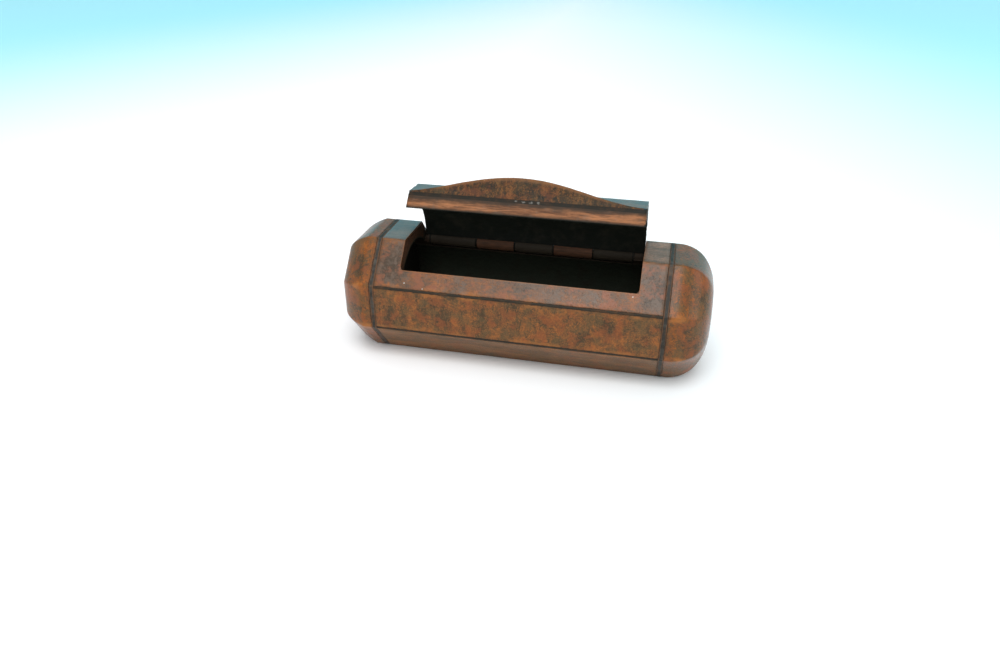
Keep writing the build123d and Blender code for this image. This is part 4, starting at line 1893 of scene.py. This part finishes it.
@dataclass(frozen=True)
class Studio:
    """The pale sweep that the box stands on, and its soft light.

    Lengths here are metres, but for the depth of the paper's tooth.
    """

    half_width: float = 4.0
    front: float = -4.0
    rear: float = 1.5
    bend: float = 0.6
    bend_steps: int = 12
    height: float = 2.4
    white: RGB = (0.96, 0.965, 0.97)
    cyan: RGB = (0.26, 0.84, 0.98)
    fade: tuple[float, float] = (0.06, 0.96)
    fade_centre: float = -0.1
    rough: float = 0.9
    tooth_waves: float = 900.0
    tooth_depth: float = 0.02
    lamps: tuple[Lamp, ...] = (
        Lamp("overhead_lamp", (0.02, -0.5, 0.85), size=0.5, watts=6.0),
        Lamp("side_lamp", (0.9, -0.2, 0.45), size=0.5, watts=2.0),
    )
    aim: Triple = (0.0, 0.0, 0.015)
    air: RGB = (0.96, 0.98, 1.0)
    air_strength: float = 0.7
    lift: float = 0.17
    # Painted shade: from the first distance to the second, in metres from the box, the paper's glow fades
    # in; nearer, the floor is left darker.
    painted_shade_reach: tuple[float, float] = (0.04, 0.12)

    def set_up(self) -> None:
        """Lays the sweep, hangs the lamps and lights the room."""
        self.sweep()
        for lamp in self.lamps:
            lamp.hang(Vector(self.aim))
        world = bpy.data.worlds.new("room")
        bpy.context.scene.world = world
        world.use_nodes = True
        background = world.node_tree.nodes["Background"]
        background.inputs["Color"].default_value = (*self.air, 1.0)
        background.inputs["Strength"].default_value = self.air_strength
        bpy.context.scene.view_settings.view_transform = "Standard"

    def sweep(self) -> bpy.types.Object:
        """The floor that curves up into the backdrop.

        Returns:
            The sweep.
        """
        mesh = bmesh.new()
        near = [mesh.verts.new((x, self.front, 0.0)) for x in (-self.half_width, self.half_width)]
        edge = mesh.edges.new(near)
        foot = self.rear - self.bend
        line = [(foot, 0.0)]
        for index in range(1, self.bend_steps + 1):
            turn = math.pi / 2 * index / self.bend_steps
            line.append((foot + self.bend * math.sin(turn), self.bend * (1 - math.cos(turn))))
        line.append((self.rear, self.height))
        for y, z in line:
            made = bmesh.ops.extrude_edge_only(mesh, edges=[edge])["geom"]
            edge = next(item for item in made if isinstance(item, bmesh.types.BMEdge))
            for vertex in edge.verts:
                vertex.co = (vertex.co.x, y, z)
        bmesh.ops.recalc_face_normals(mesh, faces=mesh.faces)
        if mesh.faces[0].normal.z < 0:
            bmesh.ops.reverse_faces(mesh, faces=mesh.faces)
        return set_down("pale_sweep", mesh, self.paper())

    def paper(self) -> bpy.types.Material:
        """White paper that turns pale blue far behind the box, with painted shade on the floor round the
        box where its glow is held back.

        Returns:
            The paper.
        """
        graph = Graph("pale_paper")
        point = Signal(graph, graph.node("ShaderNodeTexCoord").outputs["Object"])
        middle = graph.node("ShaderNodeSeparateXYZ", {}, {0: point + (-self.fade_centre, 0.0, 0.0)})
        aside, back, up = (Signal(graph, middle.outputs[index]) for index in range(3))
        far = back.most(0.0) * 0.55 + abs(aside) * 1.5 + up
        tooth = graph.grain(point, self.tooth_waves, 2.0)
        rays = graph.node("ShaderNodeLightPath").outputs
        seen, mirrored = (Signal(graph, rays[kind]) for kind in ("Is Camera Ray", "Is Glossy Ray"))
        colour = graph.mix(far.step(*self.fade) * seen.most(mirrored), self.white, self.cyan)
        # Painted shade round the box: the camera-seen glow that whitens the paper is held back near the
        # box, so the floor there stays darker than the rest.
        lift_outside_painted_shade = seen * point.length().step(*self.painted_shade_reach)
        return graph.shade(
            Base_Color=colour,
            Roughness=self.rough,
            Emission_Color=graph.mix(lift_outside_painted_shade, (0.0, 0.0, 0.0), (self.lift,) * 3),
            Emission_Strength=1.0,
            Normal=graph.relief(tooth, self.tooth_depth),
        )


def main() -> None:
    """Builds the box's pieces in order and puts them in their light."""
    logging.basicConfig(level=logging.INFO, format="%(name)s: %(message)s")
    sizes = BoxSizes.measured()
    knocks = (
        Knock(Vector((-11.6, -14.95, 21.8)), 0.7, 0.3),
        Knock(Vector((-16.3, -15.1, 21.6)), 0.5, 0.2),
        Knock(Vector((45.0, -10.0, 14.0)), 0.6, 0.25),
    )
    wear = HandWear(sizes, knocks=knocks)
    assemblies: tuple[Assembly, ...] = (
        Panels(sizes, wear),
        Stringing(sizes, wear),
        DomedCap(sizes, wear, Side.LEFT, shoulder_radius=6.2, end_radius=33.0, bevel=0.5, soft=95.0),
        DomedCap(sizes, wear, Side.RIGHT, shoulder_radius=9.2, end_radius=88.0, soft=16.0, balance=-0.05),
        Carcase(sizes, wear),
        Lid(sizes, wear),
        ThumbCrest(sizes, wear),
    )
    for assembly in assemblies:
        for piece in assembly.build():
            log.info("%s: %d faces", piece.name, len(piece.data.polygons))
    View().set_up()
    Studio().set_up()


if __name__ == "__main__":
    main()
